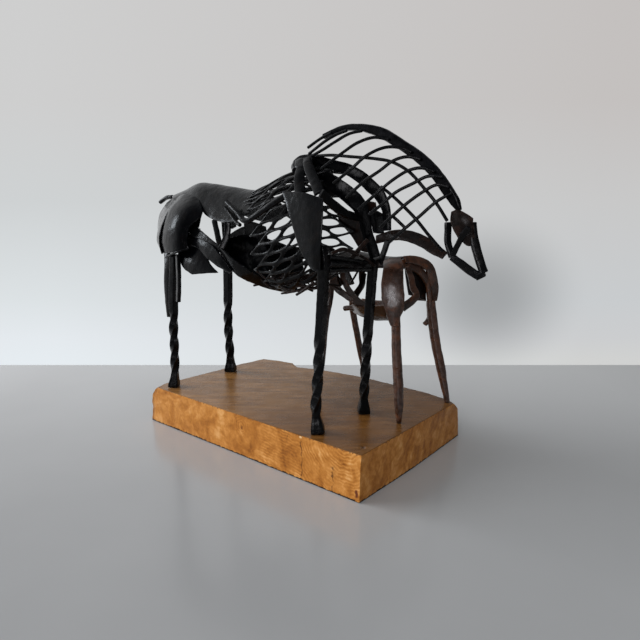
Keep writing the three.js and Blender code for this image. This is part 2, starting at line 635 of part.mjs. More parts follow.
function addFoalForehand() {
  addPiece('foal_chest_strap', brownSteel, strap(
    [[-131, 118, 226], [-127, 117, 211], [-122, 119, 198], [-115, 125, 190], [-107, 130, 183]],
    [9, 9.5, 9, 8, 7],
    [0.3, -1, 0],
  ));
  addPiece('foal_chest_band', brownSteel, strap(
    [[-121, 124, 226], [-117, 125, 209], [-111, 128, 196], [-103, 131, 185], [-89, 133, 175], [-74, 132, 171]],
    [7, 7, 8, 10, 12, 12],
    [0.3, -1, 0],
  ));
  addPiece('foal_breast_loop', brownSteel, strap(
    [[-119, 166, 238], [-117, 165, 212], [-115, 163, 200], [-118, 160, 192], [-122, 157, 184], [-119, 158, 172]],
    8, [0.3, -1, 0], 4,
  ));
  addPiece('foal_neck_head', brownSteel, strap(
    [[-120, 122, 200], [-133, 121, 218], [-148, 126, 233], [-166, 130, 240], [-190, 130, 238]],
    [12, 15, 17, 17, 15],
    [-0.3, -1, 0.2],
  ), strap(
    [[-190, 127, 204], [-172, 127, 208], [-156, 126, 215], [-142, 124, 224]], 12, [-0.2, -1, -0.2],
  ), plate([
    [[-240, 124, 222], [-216, 129, 236], [-188, 131, 246]],
    [[-243, 122, 208], [-214, 127, 216], [-187, 129, 226]],
    [[-234, 120, 194], [-208, 122, 192], [-184, 126, 203]],
  ], 3, 1));
}

// Solid of one piece, and the geometry of one solid
function solidOf(makers, grow) {
  return makers.map((make) => {
    const geometry = make(grow);
    return new wasm.Manifold(new wasm.Mesh({
      numProp: 3,
      vertProperties: new Float32Array(geometry.attributes.position.array),
      triVerts: new Uint32Array(geometry.index.array),
    }));
  }).reduce((whole, part) => whole.add(part));
}

function geometryOf(solid) {
  const mesh = solid.getMesh();
  const geometry = new THREE.BufferGeometry();
  geometry.setAttribute('position', new THREE.BufferAttribute(mesh.vertProperties, 3));
  geometry.setIndex(new THREE.BufferAttribute(mesh.triVerts, 1));
  geometry.computeVertexNormals();
  return geometry;
}

const largest = (solid) => solid.decompose().sort((a, b) => b.volume() - a.volume())[0];

addPiece('burl_base', burlWood, slab);
addMareLegs();
addHindQuarters();
addBarrel();
addShoulder();
addNeck();
addMane();
addHead();
addFoalLegs();
addFoalBody();
addFoalForehand();

// Each piece is cut clear of the pieces before it, so that touching pieces keep a fine gap.
const group = new THREE.Group();
const cutters = [];
for (const { name, material, makers } of pieces) {
  let solid = solidOf(makers, 0);
  const box = new THREE.Box3().setFromObject(new THREE.Mesh(geometryOf(solid)));
  for (const cutter of cutters.filter((other) => other.box.intersectsBox(box))) {
    solid = solid.subtract(cutter.solid);
  }
  cutters.push({ box: box.clone().expandByScalar(CLEARANCE), solid: solidOf(makers, CLEARANCE) });
  const mesh = new THREE.Mesh(geometryOf(largest(solid)), material);
  mesh.name = name;
  group.add(mesh);
}

const footprint = new THREE.Box3().setFromObject(group);
const centre = footprint.getCenter(new THREE.Vector3());
group.position.set(-centre.x, -centre.y, -footprint.min.z);

export default group;
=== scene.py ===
import math

import bmesh
import bpy
import numpy as np
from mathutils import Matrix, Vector, noise


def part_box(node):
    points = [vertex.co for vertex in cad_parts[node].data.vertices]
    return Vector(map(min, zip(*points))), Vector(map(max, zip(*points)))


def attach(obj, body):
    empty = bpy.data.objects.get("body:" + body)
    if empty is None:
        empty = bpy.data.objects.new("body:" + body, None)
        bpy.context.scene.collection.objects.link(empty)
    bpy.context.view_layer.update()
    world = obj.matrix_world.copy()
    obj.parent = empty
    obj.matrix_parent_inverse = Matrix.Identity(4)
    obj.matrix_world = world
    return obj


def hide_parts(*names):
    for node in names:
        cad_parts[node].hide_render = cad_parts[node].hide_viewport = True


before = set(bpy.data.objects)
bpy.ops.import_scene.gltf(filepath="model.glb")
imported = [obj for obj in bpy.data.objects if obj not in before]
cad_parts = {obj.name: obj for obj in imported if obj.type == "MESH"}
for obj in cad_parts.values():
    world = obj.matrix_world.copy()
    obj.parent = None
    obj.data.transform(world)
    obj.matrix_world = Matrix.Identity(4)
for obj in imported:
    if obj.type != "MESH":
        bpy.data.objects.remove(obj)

# Mare and foal, an open sculpture of black and brown steel on a slab of burl wood.
# Every place below is in millimetres, measured as in the CAD from the near front corner of the
# slab's underside: X the way the mare faces, Y from her near side to her far side, Z up.
# The slab's own box in the frame says where that corner lies.
MM = 0.001
SLAB_LOW = (-366.0, -1.0, 0.0)
SLAB_THICK = 52.0
STAND = SLAB_THICK + 0.3
MIDDLE_Y = 60.0
PLATE = 2.2
STRAP = 2.6
LEG_BAR = 9.5
MANE_ROD = 3.2
TWIST_FOOT = 72.0
QUARTER_TWIST = 24.0
PLATE_STEP = 2.2
ROD_SIDES = 14
MERGE_WITHIN = 0.02
# The size of a surface's lumps and their share, from coarse to fine
FORGED = ((9, 1), (3.5, 0.5))
DENTED = ((17, 1), (6, 0.35))
BARKED = ((16, 1), (6, 0.6), (2.5, 0.35))
RIM_LUMPS = 7
# The part of a section left on the face of an eased end, and of a sheet's thickness left at its rim
END_SHARE = 0.74
RIM_SHARE = 0.6
ORIGIN = np.array(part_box("burl_base")[0]) / MM - np.array(SLAB_LOW)

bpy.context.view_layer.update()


# Curves and values along them

def spline(points, count):
    """Places at even steps along a centripetal curve through the points, the CAD's own kind"""
    given = np.array(points, float)
    p = np.vstack([2 * given[0] - given[1], given, 2 * given[-1] - given[-2]])
    spans = len(given) - 1
    places = []
    for t in np.linspace(0, spans, count):
        k = min(int(t), spans - 1)
        w = t - k
        p0, p1, p2, p3 = p[k:k + 4]
        d0, d1, d2 = (max(np.linalg.norm(b - a) ** 0.5, 1e-4) for a, b in ((p0, p1), (p1, p2), (p2, p3)))
        out = ((p1 - p0) / d0 - (p2 - p0) / (d0 + d1) + (p2 - p1) / d1) * d1
        into = ((p2 - p1) / d1 - (p3 - p1) / (d1 + d2) + (p3 - p2) / d2) * d1
        bend = -3 * p1 + 3 * p2 - 2 * out - into
        places.append(p1 + w * (out + w * (bend + w * (2 * p1 - 2 * p2 + out + into))))
    return np.array(places)


def along(values, t):
    """Values spread evenly along a piece, read at the places t from 0 to 1"""
    table = np.array(values, float)
    if table.ndim == 0:
        return np.full(len(t), float(table))
    marks = np.linspace(0, 1, len(table))
    if table.ndim == 1:
        return np.interp(t, marks, table)
    return np.stack([np.interp(t, marks, column) for column in table.T], axis=1)


def unit(vectors):
    return vectors / np.maximum(np.linalg.norm(vectors, axis=-1, keepdims=True), 1e-9)


def lumps(points, size, seed):
    """Smooth noise from -1 to 1 at each point, in lumps of about that many millimetres"""
    shift = Vector((seed * 7.31, seed * 3.17, seed * 5.93))
    return np.array([noise.noise(Vector(p) / size + shift) for p in points.reshape(-1, 3)])


def layered(points, layers, seed):
    """Lumps of several sizes on top of each other"""
    return sum(share * lumps(points, size, seed + k) for k, (size, share) in enumerate(layers))


# Meshes, each one a pair of points and faces

def rings_to_mesh(rings):
    """A skin over rings of equal point count, closed at both ends"""
    rows, count, _ = rings.shape
    faces = []
    for row in range(rows - 1):
        for k in range(count):
            a = row * count + k
            b = row * count + (k + 1) % count
            faces.append((a, b, b + count, a + count))
    faces.append(tuple(reversed(range(count))))
    faces.append(tuple(range((rows - 1) * count, rows * count)))
    return rings.reshape(-1, 3), faces


def bar_outline(wide, thick, radius):
    """Points round a bar's section with rounded corners, one row for each place along it"""
    corner = np.radians([0, 45, 90])
    side = [0.55, 0.0, -0.55]
    shares = []
    for quarter, (sx, sy) in enumerate(((1, -1), (1, 1), (-1, 1), (-1, -1))):
        for angle in corner - math.pi / 2 + quarter * math.pi / 2:
            shares.append((sx, math.cos(angle), sy, math.sin(angle)))
        if sy == sx:
            shares += [(sy * u, 0.0, sy, float(sy)) for u in side]
    shares = np.array(shares)
    flat_x = (wide - radius)[:, None]
    flat_y = (thick - radius)[:, None]
    rounding = radius[:, None]
    return shares[:, 0] * flat_x + shares[:, 1] * rounding, shares[:, 2] * flat_y + shares[:, 3] * rounding


def sweep(path, wide, thick=None, face=(0, -1, 0), step=1.6, radius=0.7, crown=0.0, turn=None, swell=None,
          rough=0.18, seed=1, cut=0.5, round_bar=False):
    """A bar, strap or rod bent through its points, with eased edges and a forged surface. Its wide
    side looks along face, and turn and swell change it by the place along it."""
    length = np.linalg.norm(np.diff(np.array(path, float), axis=0), axis=1).sum()
    count = max(8, int(length / step)) + 1
    t = np.linspace(0, 1, count)
    centres = spline(path, count)
    tangents = unit(np.gradient(centres, axis=0))
    normals = along(face, t) if np.ndim(face) > 1 else np.tile(np.array(face, float), (count, 1))
    normals = unit(normals - (normals * tangents).sum(1, keepdims=True) * tangents)
    if turn:
        angle = turn(centres)[:, None]
        normals = normals * np.cos(angle) + np.cross(tangents, normals) * np.sin(angle)
    across = np.cross(tangents, normals)
    scale = swell(centres) if swell else 1.0
    half_wide = along(wide, t) * scale / 2
    half_thick = (half_wide if thick is None else along(thick, t) * scale / 2)
    if round_bar:
        angles = np.linspace(0, 2 * math.pi, ROD_SIDES, endpoint=False)
        x = half_wide[:, None] * np.cos(angles)
        y = half_thick[:, None] * np.sin(angles)
    else:
        rounding = np.minimum(radius * np.ones(count) * scale, 0.8 * np.minimum(half_wide, half_thick))
        x, y = bar_outline(half_wide, half_thick, rounding)
        y = y + crown * (1 - (x / half_wide[:, None]) ** 2)
    rings = centres[:, None] + x[..., None] * across[:, None] + y[..., None] * normals[:, None]
    if rough:
        out = unit(rings - centres[:, None])
        push = rough * layered(rings, FORGED, seed)
        rings = rings + out * push.reshape(rings.shape[:2])[..., None]
    first = centres[0] + (rings[0] - centres[0]) * END_SHARE
    last = centres[-1] + (rings[-1] - centres[-1]) * END_SHARE
    rings[0] += tangents[0] * cut
    rings[-1] -= tangents[-1] * cut
    return rings_to_mesh(np.concatenate([first[None], rings, last[None]]))


def strap(path, wide, face=(0, -1, 0), thick=STRAP, **kinds):
    return sweep(path, wide, thick, face, **kinds)


def bar(path, wide, face, thick, radius=1.4, rough=0.3, **kinds):
    return sweep(path, wide, thick, face, radius=radius, rough=rough, **kinds)


def rod(path, wide=MANE_ROD, **kinds):
    return sweep(path, wide, round_bar=True, **{"rough": 0.1, "step": 1.4, **kinds})


def sheet_mesh(front, back, faces):
    """A closed sheet between two copies of one net of faces"""
    count = len(front)
    edges = {}
    for face in faces:
        for here, there in zip(face, face[1:] + face[:1]):
            if (there, here) in edges:
                del edges[(there, here)]
            else:
                edges[(here, there)] = True
    sides = [(here, here + count, there + count, there) for here, there in edges]
    backs = [tuple(k + count for k in reversed(face)) for face in faces]
    return np.vstack([front, back]), list(faces) + backs + sides


def plate(rows, thick=PLATE, dent=0.3, wobble=0.4, seed=1):
    """A sheet of even thickness over a net of points, with dents, eased edges and an uneven rim"""
    given = np.array(rows, float)
    across = max(6, int(np.linalg.norm(np.diff(given, axis=1), axis=2).sum(1).max() / PLATE_STEP)) + 1
    down = max(6, int(np.linalg.norm(np.diff(given, axis=0), axis=2).sum(0).max() / PLATE_STEP)) + 1
    wide = np.array([spline(row, across) for row in given])
    net = np.stack([spline(wide[:, k], down) for k in range(across)], axis=1)
    u = unit(np.gradient(net, axis=0))
    v = unit(np.gradient(net, axis=1))
    normal = unit(np.cross(u, v))
    dents = dent * layered(net, DENTED, seed)
    net = net + normal * dents.reshape(net.shape[:2])[..., None]
    rim = wobble * lumps(net, RIM_LUMPS, seed + 2).reshape(net.shape[:2])
    for index, sense in ((0, -1), (-1, 1)):
        net[index] += sense * u[index] * (rim[index] - wobble)[:, None]
        net[:, index] += sense * v[:, index] * (rim[:, index] - wobble)[:, None]
    pinch = np.ones(net.shape[:2])
    pinch[[0, -1]] = RIM_SHARE
    pinch[:, [0, -1]] = RIM_SHARE
    half = normal * (thick / 2 * pinch)[..., None]
    number = np.arange(down * across).reshape(down, across)
    faces = [(number[i, j], number[i, j + 1], number[i + 1, j + 1], number[i + 1, j])
             for i in range(down - 1) for j in range(across - 1)]
    faces = [tuple(int(k) for k in face) for face in faces]
    return sheet_mesh((net + half).reshape(-1, 3), (net - half).reshape(-1, 3), faces)


def saddle(stations, ridge_y, **kinds):
    """A sheet bent over a back, from stations of a ridge point and a near edge point"""
    rows = []
    for (ridge_x, ridge_z), (edge_x, edge_y, edge_z) in stations:
        row = []
        for k in range(-3, 4):
            share = abs(k) / 3
            row.append((
                ridge_x + (edge_x - ridge_x) * share,
                ridge_y + math.copysign((ridge_y - edge_y) * share ** 0.85, k),
                edge_z + (ridge_z - edge_z) * (1 - share ** 1.6),
            ))
        rows.append(row)
    return plate(rows, **kinds)


# Materials, all from nodes that read the place on the object

class Graph:
    """The nodes of one material, or of the world, added one by one"""

    def __init__(self, tree, place):
        self.tree = tree
        self.place = tree.nodes.new("ShaderNodeTexCoord").outputs[place]

    def node(self, kind, inputs=(), **settings):
        made = self.tree.nodes.new(kind)
        for key, value in settings.items():
            setattr(made, key, value)
        for key, value in dict(inputs).items():
            self.put(made.inputs[key], value)
        return made

    def put(self, socket, value):
        if isinstance(value, bpy.types.NodeSocket):
            self.tree.links.new(value, socket)
        else:
            socket.default_value = value

    def feed(self, shader, inputs):
        for key, value in inputs.items():
            self.put(self.tree.nodes[shader].inputs[key], value)

    def noise(self, scale, detail=2.0, distortion=0.0, where=None, output="Fac", rough=0.5):
        return self.node("ShaderNodeTexNoise", {
            "Vector": where or self.place, "Scale": scale, "Detail": detail, "Roughness": rough,
            "Distortion": distortion,
        }).outputs[output]

    def mapped(self, place, kind="TEXTURE", **inputs):
        return self.node("ShaderNodeMapping", {"Vector": place, **inputs}, vector_type=kind).outputs[0]

    def ramp(self, value, stops):
        made = self.node("ShaderNodeValToRGB", {"Fac": value})
        elements = made.color_ramp.elements
        while len(elements) < len(stops):
            elements.new(0.5)
        for element, (place, tone) in zip(elements, stops):
            element.position = place
            element.color = (tone, tone, tone, 1) if isinstance(tone, (int, float)) else (*tone, 1)
        return made.outputs["Color"]

    def fade(self, value, low, high, most=1.0):
        """None below the low value, most of it above the high one"""
        return self.ramp(value, [(low, 0.0), (high, most)])

    def mix(self, share, a, b):
        made = self.node("ShaderNodeMix", data_type="RGBA")
        self.put(made.inputs[0], share)
        for socket, value in ((made.inputs[6], a), (made.inputs[7], b)):
            self.put(socket, (*value, 1) if isinstance(value, tuple) else value)
        return made.outputs[2]

    def math(self, operation, a, b=0.0):
        return self.node("ShaderNodeMath", {0: a, 1: b}, operation=operation).outputs[0]

    def plus(self, first, *others):
        for other in others:
            first = self.math("ADD", first, other)
        return first

    def times(self, first, *others):
        for other in others:
            first = self.math("MULTIPLY", first, other)
        return first

    def rest(self, share):
        return self.math("SUBTRACT", 1.0, share)

    def centred(self, value, reach):
        """A value from 0 to 1 made into one round zero, as wide in all as the reach"""
        return self.times(self.math("SUBTRACT", value, 0.5), reach)

    def range(self, value, low, high, to_low=0.0, to_high=1.0, kind="LINEAR"):
        return self.node("ShaderNodeMapRange", {
            "Value": value, "From Min": low, "From Max": high, "To Min": to_low, "To Max": to_high,
        }, interpolation_type=kind).outputs[0]

    def vector(self, operation, a, b=(0.0, 0.0, 0.0), output=0, **inputs):
        return self.node("ShaderNodeVectorMath", {0: a, 1: b, **inputs}, operation=operation).outputs[output]

    def towards(self, way):
        """How far the place lies along a way"""
        return self.vector("DOT_PRODUCT", self.place, tuple(way), output="Value")

    def xyz(self, vector):
        return tuple(self.node("ShaderNodeSeparateXYZ", {"Vector": vector}).outputs)

    def geometry(self, output):
        return self.node("ShaderNodeNewGeometry").outputs[output]

    def painted(self, name):
        """A number that the mesh carries at each of its points"""
        return self.node("ShaderNodeAttribute", attribute_name=name).outputs["Fac"]

    def bump(self, height, distance, strength, under=None):
        made = self.node("ShaderNodeBump", {"Height": height, "Distance": distance, "Strength": strength})
        if under is not None:
            self.put(made.inputs["Normal"], under)
        return made.outputs[0]


def paint(name):
    """A new material, and the graph of its nodes"""
    material = bpy.data.materials.new(name)
    material.use_nodes = True
    return material, Graph(material.node_tree, "Object")


def steel(name, deep, middle, warm, light, shine, rough_low, rough_high):
    """Forged steel under a waxed dark skin: cloudy patches, fine scratches and pits, worn rims"""
    material, g = paint(name)
    clouds = g.noise(26, 4, 0.4)
    patches = g.noise(75, 3, 0.8)
    colour = g.mix(g.fade(clouds, 0.35, 0.65), deep, middle)
    colour = g.mix(g.fade(patches, 0.52, 0.72, 0.85), colour, warm)
    worn = g.fade(g.geometry("Pointiness"), 0.51, 0.60)
    spots = g.fade(g.noise(240, 2), 0.42, 0.62)
    hammered = g.node("ShaderNodeTexVoronoi", {"Vector": g.place, "Scale": 150.0}, feature="SMOOTH_F1")
    scratches = g.noise(420, 4, where=g.mapped(g.place, "POINT", Scale=(1, 1, 0.25)))
    normal = g.bump(hammered.outputs["Distance"], 0.0012, 0.25)
    normal = g.bump(scratches, 0.0004, 0.35, normal)
    cloudy = g.noise(110, 5, 0.5, rough=0.6)
    g.feed("Principled BSDF", {
        "Base Color": g.mix(g.times(worn, spots), colour, light),
        "Specular IOR Level": shine,
        "Roughness": g.range(cloudy, 0.3, 0.7, rough_low, rough_high),
        "Normal": g.bump(g.noise(1500, 3), 0.00015, 0.3, normal),
    })
    return material


def on_slab(x, z):
    """A place on the slab's near side, in metres as the materials see it"""
    return tuple((np.array([x, 0.0, z]) + ORIGIN) * MM)


# Patches of the sawn near side: middle, half width, half height, lean in degrees, and how much lighter
SIDE_PATCHES = [
    (-218, 28, 13, 34, 20, 0.30), (-246, 22, 12, 24, 15, -0.22), (-176, 12, 36, 16, 0, -0.26),
    (-300, 22, 24, 16, 30, 0.08), (-112, 26, 34, 40, 0, -0.24), (-60, 40, 26, 12, -15, 0.18),
    (-14, 24, 8, 9, 0, 0.22), (-330, 40, 14, 10, 0, 0.14), (-272, 36, 10, 18, 0, 0.12),
]
SIDE_TONES = [
    (0.0, (0.19, 0.062, 0.011)), (0.28, (0.31, 0.112, 0.019)), (0.5, (0.405, 0.158, 0.030)),
    (0.72, (0.50, 0.215, 0.050)), (1.0, (0.62, 0.32, 0.11)),
]
SWIRL = (-176, 38)
RING_MIDDLE = (-22, 66)
# Cracks: place, lowest and highest point, and half width
CRACKS = [(-79, 0, 51, 1.5), (-35, -4, 32, 1.3), (-101, 36, 52, 1.1)]
CRACK_FADE = 4
SMALL_KNOT = (-5, 9)
CHIP = (-81, 50)
# The end grain leans, and the top's grain is turned from the slab's length
END_GRAIN_TURN = (math.radians(-32), 0, 0)
TOP_GRAIN_TURN = (0, 0, math.radians(39))


def slab_x(x):
    return on_slab(x, 0)[0]


def bent(g, scale, reach):
    """The place on the object, pushed about by soft noise"""
    wander = g.vector("SUBTRACT", g.noise(scale, 3, output="Color"), (0.5, 0.5, 0.5))
    return g.vector("ADD", g.place, g.vector("SCALE", wander, Scale=reach))


def side_distance(g, place, middle, size=(1, 1), lean=0.0):
    """Distance on the near side from a middle, counted in its half width and half height"""
    local = g.mapped(place, Location=on_slab(*middle), Rotation=(0, math.radians(lean), 0),
                     Scale=(size[0] * MM, 0.2, size[1] * MM))
    return g.vector("LENGTH", local, output="Value")


def patch(g, place, middle, size, lean=0.0, core=0.25):
    return g.range(side_distance(g, place, middle, size, lean), core, 1.0, 1.0, 0.0, "SMOOTHSTEP")


def ripples(g, value, spacing):
    return g.math("SINE", g.times(value, 2 * math.pi / spacing))


def side_figure(g, x, loose, tight):
    """The figure of the sawn sides: mottle, year rings, a swirl, and slanted grain on the end"""
    tight_x, _, tight_z = g.xyz(tight)
    arcs = ripples(g, side_distance(g, tight, RING_MIDDLE), 3.9)
    layers = ripples(g, g.plus(tight_z, g.times(tight_x, 0.10)), 0.0037)
    swirls = ripples(g, side_distance(g, tight, SWIRL), 3.2)
    crack = slab_x(CRACKS[0][0])
    past_crack = g.range(x, crack - 0.002, crack + 0.002)
    rings = g.plus(g.times(arcs, past_crack), g.times(layers, g.rest(past_crack)))
    strength = g.range(x, slab_x(-150), slab_x(-136), 0.01, 0.13)
    uneven = g.range(g.noise(34, 3), 0.38, 0.62, 0.1, 1.2)
    near_side = g.range(g.math("ABSOLUTE", g.xyz(g.geometry("True Normal"))[1]), 0.5, 0.9)
    end_grain = g.noise(190, 3, where=g.mapped(loose, Rotation=END_GRAIN_TURN, Scale=(1, 1, 5)))
    return g.plus(
        g.times(rings, strength, uneven, near_side),
        g.times(g.centred(end_grain, 0.9), g.rest(near_side)),
        g.times(swirls, 0.13, patch(g, loose, SWIRL, (20, 17))),
        g.range(g.noise(48, 5, 1.2), 0.3, 0.7, 0.26, 0.86),
        g.centred(g.noise(260, 4), 0.6),
        *(g.times(patch(g, loose, (middle_x, middle_z), (wide, high), lean), lighter)
          for middle_x, middle_z, wide, high, lean, lighter in SIDE_PATCHES),
    )


def side_marks(g, colour, z, tight):
    """Cracks, a small knot, the heart of the swirl, a grubby rim along the top and a chip"""
    wander_x = g.xyz(bent(g, 75, 0.016))[0]
    broken = g.range(g.noise(150, 2), 0.42, 0.58, 0.1, 0.85)
    for place, low, high, wide in CRACKS:
        off = g.math("ABSOLUTE", g.math("SUBTRACT", wander_x, slab_x(place)))
        line = g.times(g.range(off, 0.0, wide * MM, 1.0, 0.0, "SMOOTHSTEP"),
                       g.range(z, low * MM, (low + CRACK_FADE) * MM),
                       g.range(z, high * MM, (high - CRACK_FADE) * MM))
        colour = g.mix(g.times(line, broken), colour, (0.075, 0.024, 0.008))
    colour = g.mix(patch(g, tight, SMALL_KNOT, (3, 4.5), core=0.5), colour, (0.13, 0.035, 0.014))
    colour = g.mix(patch(g, tight, SWIRL, (2.6, 4.5), 35, 0.3), colour, (0.17, 0.055, 0.012))
    grit = g.fade(g.noise(330, 3), 0.5, 0.66)
    rim = g.range(z, 0.0498, 0.0512)
    colour = g.mix(g.times(rim, grit), colour, (0.10, 0.045, 0.02))
    return g.mix(patch(g, g.place, CHIP, (2.6, 1.5), core=0.5), colour, (0.60, 0.40, 0.20))


def top_board(g, x):
    """The oiled top, streaked along its grain, lighter at the rear end with a painted reflection and darker
    towards the front
    """
    grain = g.mapped(g.place, Rotation=TOP_GRAIN_TURN, Scale=(7, 1, 1))

    def streaky(scale, deep, pale):
        streaks = g.fade(g.noise(scale, 4, where=grain), 0.36, 0.62)
        return g.mix(streaks, deep, pale)

    # The rear's lighter colours are a painted reflection of the pale wall on the top's rear end
    rear = streaky(130, (0.125, 0.058, 0.019), (0.205, 0.100, 0.032))
    front = streaky(150, (0.062, 0.024, 0.005), (0.108, 0.045, 0.010))
    wavy_x = g.plus(x, g.centred(g.noise(14, 3), 0.09))
    board = g.mix(g.range(wavy_x, slab_x(-215), slab_x(-95), 0.0, 0.85), rear, front)
    dark_streaks = g.fade(g.noise(420, 2, where=grain), 0.56, 0.74, 0.4)
    return g.mix(dark_streaks, board, (0.06, 0.028, 0.010))


def burl():
    """Burl wood: mottled with rings and a swirl on its sawn side, streaked and brown on top"""
    material, g = paint("oiled_burl")
    x, _, z = g.xyz(g.place)
    tight = bent(g, 110, 0.007)
    figure = side_figure(g, x, bent(g, 38, 0.020), tight)
    colour = side_marks(g, g.ramp(figure, SIDE_TONES), z, tight)
    top = g.fade(g.xyz(g.geometry("True Normal"))[2], 0.6, 0.9)
    colour = g.mix(top, colour, top_board(g, x))
    bark = g.painted("bark")
    rugged = g.times(bark, g.ramp(g.noise(95, 6), [(0.30, 0.25), (0.66, 0.8)]))
    colour = g.mix(rugged, colour, (0.115, 0.052, 0.020))
    # A thin ragged dark line along the slab's foot: its dark underside edge together with painted contact
    # shade where it meets the table
    foot = g.range(g.plus(z, g.centred(g.noise(260, 3), 0.005)), 0.0011, 0.0021, 1.0, 0.0)
    colour = g.mix(g.math("MAXIMUM", g.painted("dark"), foot), colour, (0.016, 0.010, 0.008))
    roughness = g.plus(g.range(g.noise(60, 3), 0.3, 0.7, 0.30, 0.44), g.times(bark, 0.2))
    g.feed("Principled BSDF", {
        "Base Color": colour,
        "Roughness": g.math("SUBTRACT", roughness, g.times(top, 0.08)),
        "Specular IOR Level": g.range(top, 0.0, 1.0, 0.16, 0.22),
        "Normal": g.bump(figure, 0.0005, 0.3, g.bump(g.noise(700, 4), 0.0002, 0.35)),
    })
    return material


BLACK, BROWN, BURL = "black_steel", "brown_steel", "burl_wood"
MATERIALS = {
    BLACK: steel("waxed_black", (0.0006, 0.0007, 0.0009), (0.0015, 0.0017, 0.0022), (0.0028, 0.0019, 0.0016),
                 (0.012, 0.012, 0.014), 0.16, 0.18, 0.31),
    BROWN: steel("brown_patina", (0.010, 0.0035, 0.0016), (0.040, 0.0145, 0.0065), (0.095, 0.030, 0.010),
                 (0.14, 0.08, 0.06), 0.62, 0.24, 0.38),
    BURL: burl(),
}
# A glossier copy of the black steel, darker and with a weaker shine: painted shade for the faces that mirror
# dark surroundings
GLOSSY_SHADED_BLACK = steel("glossy_black_painted_shade", (0.0004, 0.0005, 0.0008), (0.0009, 0.0011, 0.0017), (0.0016, 0.0012, 0.0014),
            (0.008, 0.008, 0.010), 0.09, 0.15, 0.26)
UMBER = steel("umber_steel", (0.0024, 0.0012, 0.0010), (0.0062, 0.0030, 0.0022), (0.019, 0.0075, 0.0048),
              (0.04, 0.026, 0.022), 0.16, 0.24, 0.38)


# Pieces

def add(name, data):
    made = bpy.data.objects.new(name, data)
    bpy.context.scene.collection.objects.link(made)
    return made


def piece(node, slot, *parts, smooth_angle=38, finer=0, marks=None, skin=None):
    """One named piece from its parts, standing for a CAD node. A piece whose name is no node's is an
    addition. Its material is the slot's, or the skin when one is given."""
    points, faces = [], []
    for part_points, part_faces in parts:
        base = sum(len(p) for p in points)
        points.append(part_points)
        faces += [tuple(k + base for k in face) for face in part_faces]
    mesh = bpy.data.meshes.new(f"{node}_detail")
    mesh.from_pydata(((np.vstack(points) + ORIGIN) * MM).tolist(), [], faces)
    for name, values in (marks or {}).items():
        mesh.attributes.new(name, "FLOAT", "POINT").data.foreach_set("value", np.array(values, np.float32))
    shaped = bmesh.new()
    shaped.from_mesh(mesh)
    bmesh.ops.remove_doubles(shaped, verts=shaped.verts, dist=MERGE_WITHIN * MM)
    bmesh.ops.recalc_face_normals(shaped, faces=shaped.faces)
    shaped.to_mesh(mesh)
    shaped.free()
    mesh.shade_smooth()
    mesh.set_sharp_from_angle(angle=math.radians(smooth_angle))
    mesh.materials.append(skin or MATERIALS[slot])
    made = add(f"{node}_detail", mesh)
    if finer:
        divided = made.modifiers.new("finer", "SUBSURF")
        divided.levels = divided.render_levels = finer
    else:
        weighted = made.modifiers.new("even_shading", "WEIGHTED_NORMAL")
        weighted.keep_sharp = True
    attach(made, "root")
    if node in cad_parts:
        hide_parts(node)


# The slab: sawn straight at the near side and the front, live edges behind, worn at the rear end

SLAB_TOP = [
    (0, 0), (2.5, 100), (5, 201), (-6, 210), (-14.5, 213), (-48, 220), (-88, 222), (-141, 225),
    (-176, 223), (-211, 218.5), (-240, 212), (-266, 203), (-288, 216), (-316, 212), (-343, 204),
    (-349, 160), (-351, 101), (-355, 45), (-357, 19), (-350, 0), (-341, 0), (-180, 0),
]
SLAB_LEAN = [
    (-1, -1), (0, 2), (-3, 23), (0, 17), (0, 15), (0, 14), (2, 13), (0, 14), (1, 12), (0, 12), (2, 12),
    (2, 13), (0, 12), (-4, 12), (-9, 12), (-12, 3), (-13, 0), (-10, 0), (-9, 0), (-16, 0), (-15, 0), (0, 0),
]
SLAB_LIVE = [0, 0, 0.3, 0.7, 1, 1, 1, 1, 1, 1, 1, 1, 1, 1, 1, 1, 1, 1, 1, 1.0, 0.15, 0]
SLAB_WORN_HEIGHT = 40.0
SLAB_MIDDLE = np.array([-178.0, 108.0])
RIM_STEP = 1.7
SIDE_HEIGHTS = [0, 0.5, 1.2, *np.arange(3, 50, 2.2), 50.2, 51.0, 51.6]
TOP_INSETS = [0.7, 1.6, 3, 5, 7, 9, 11, 13, 15, 17, 19, 21, 23, 25, 28, 33, 40, 50, 62, 76, 92, 999]
KNOT = np.array([-10.9, 18.4])
KNOT_DEPTH = 1.4
BARK_SUNK = 1.5
BARK_RELIEF = 1.3
SAWN_WAVE = 0.12
TOP_EASED = 3
FOOT_EASED = 0.55


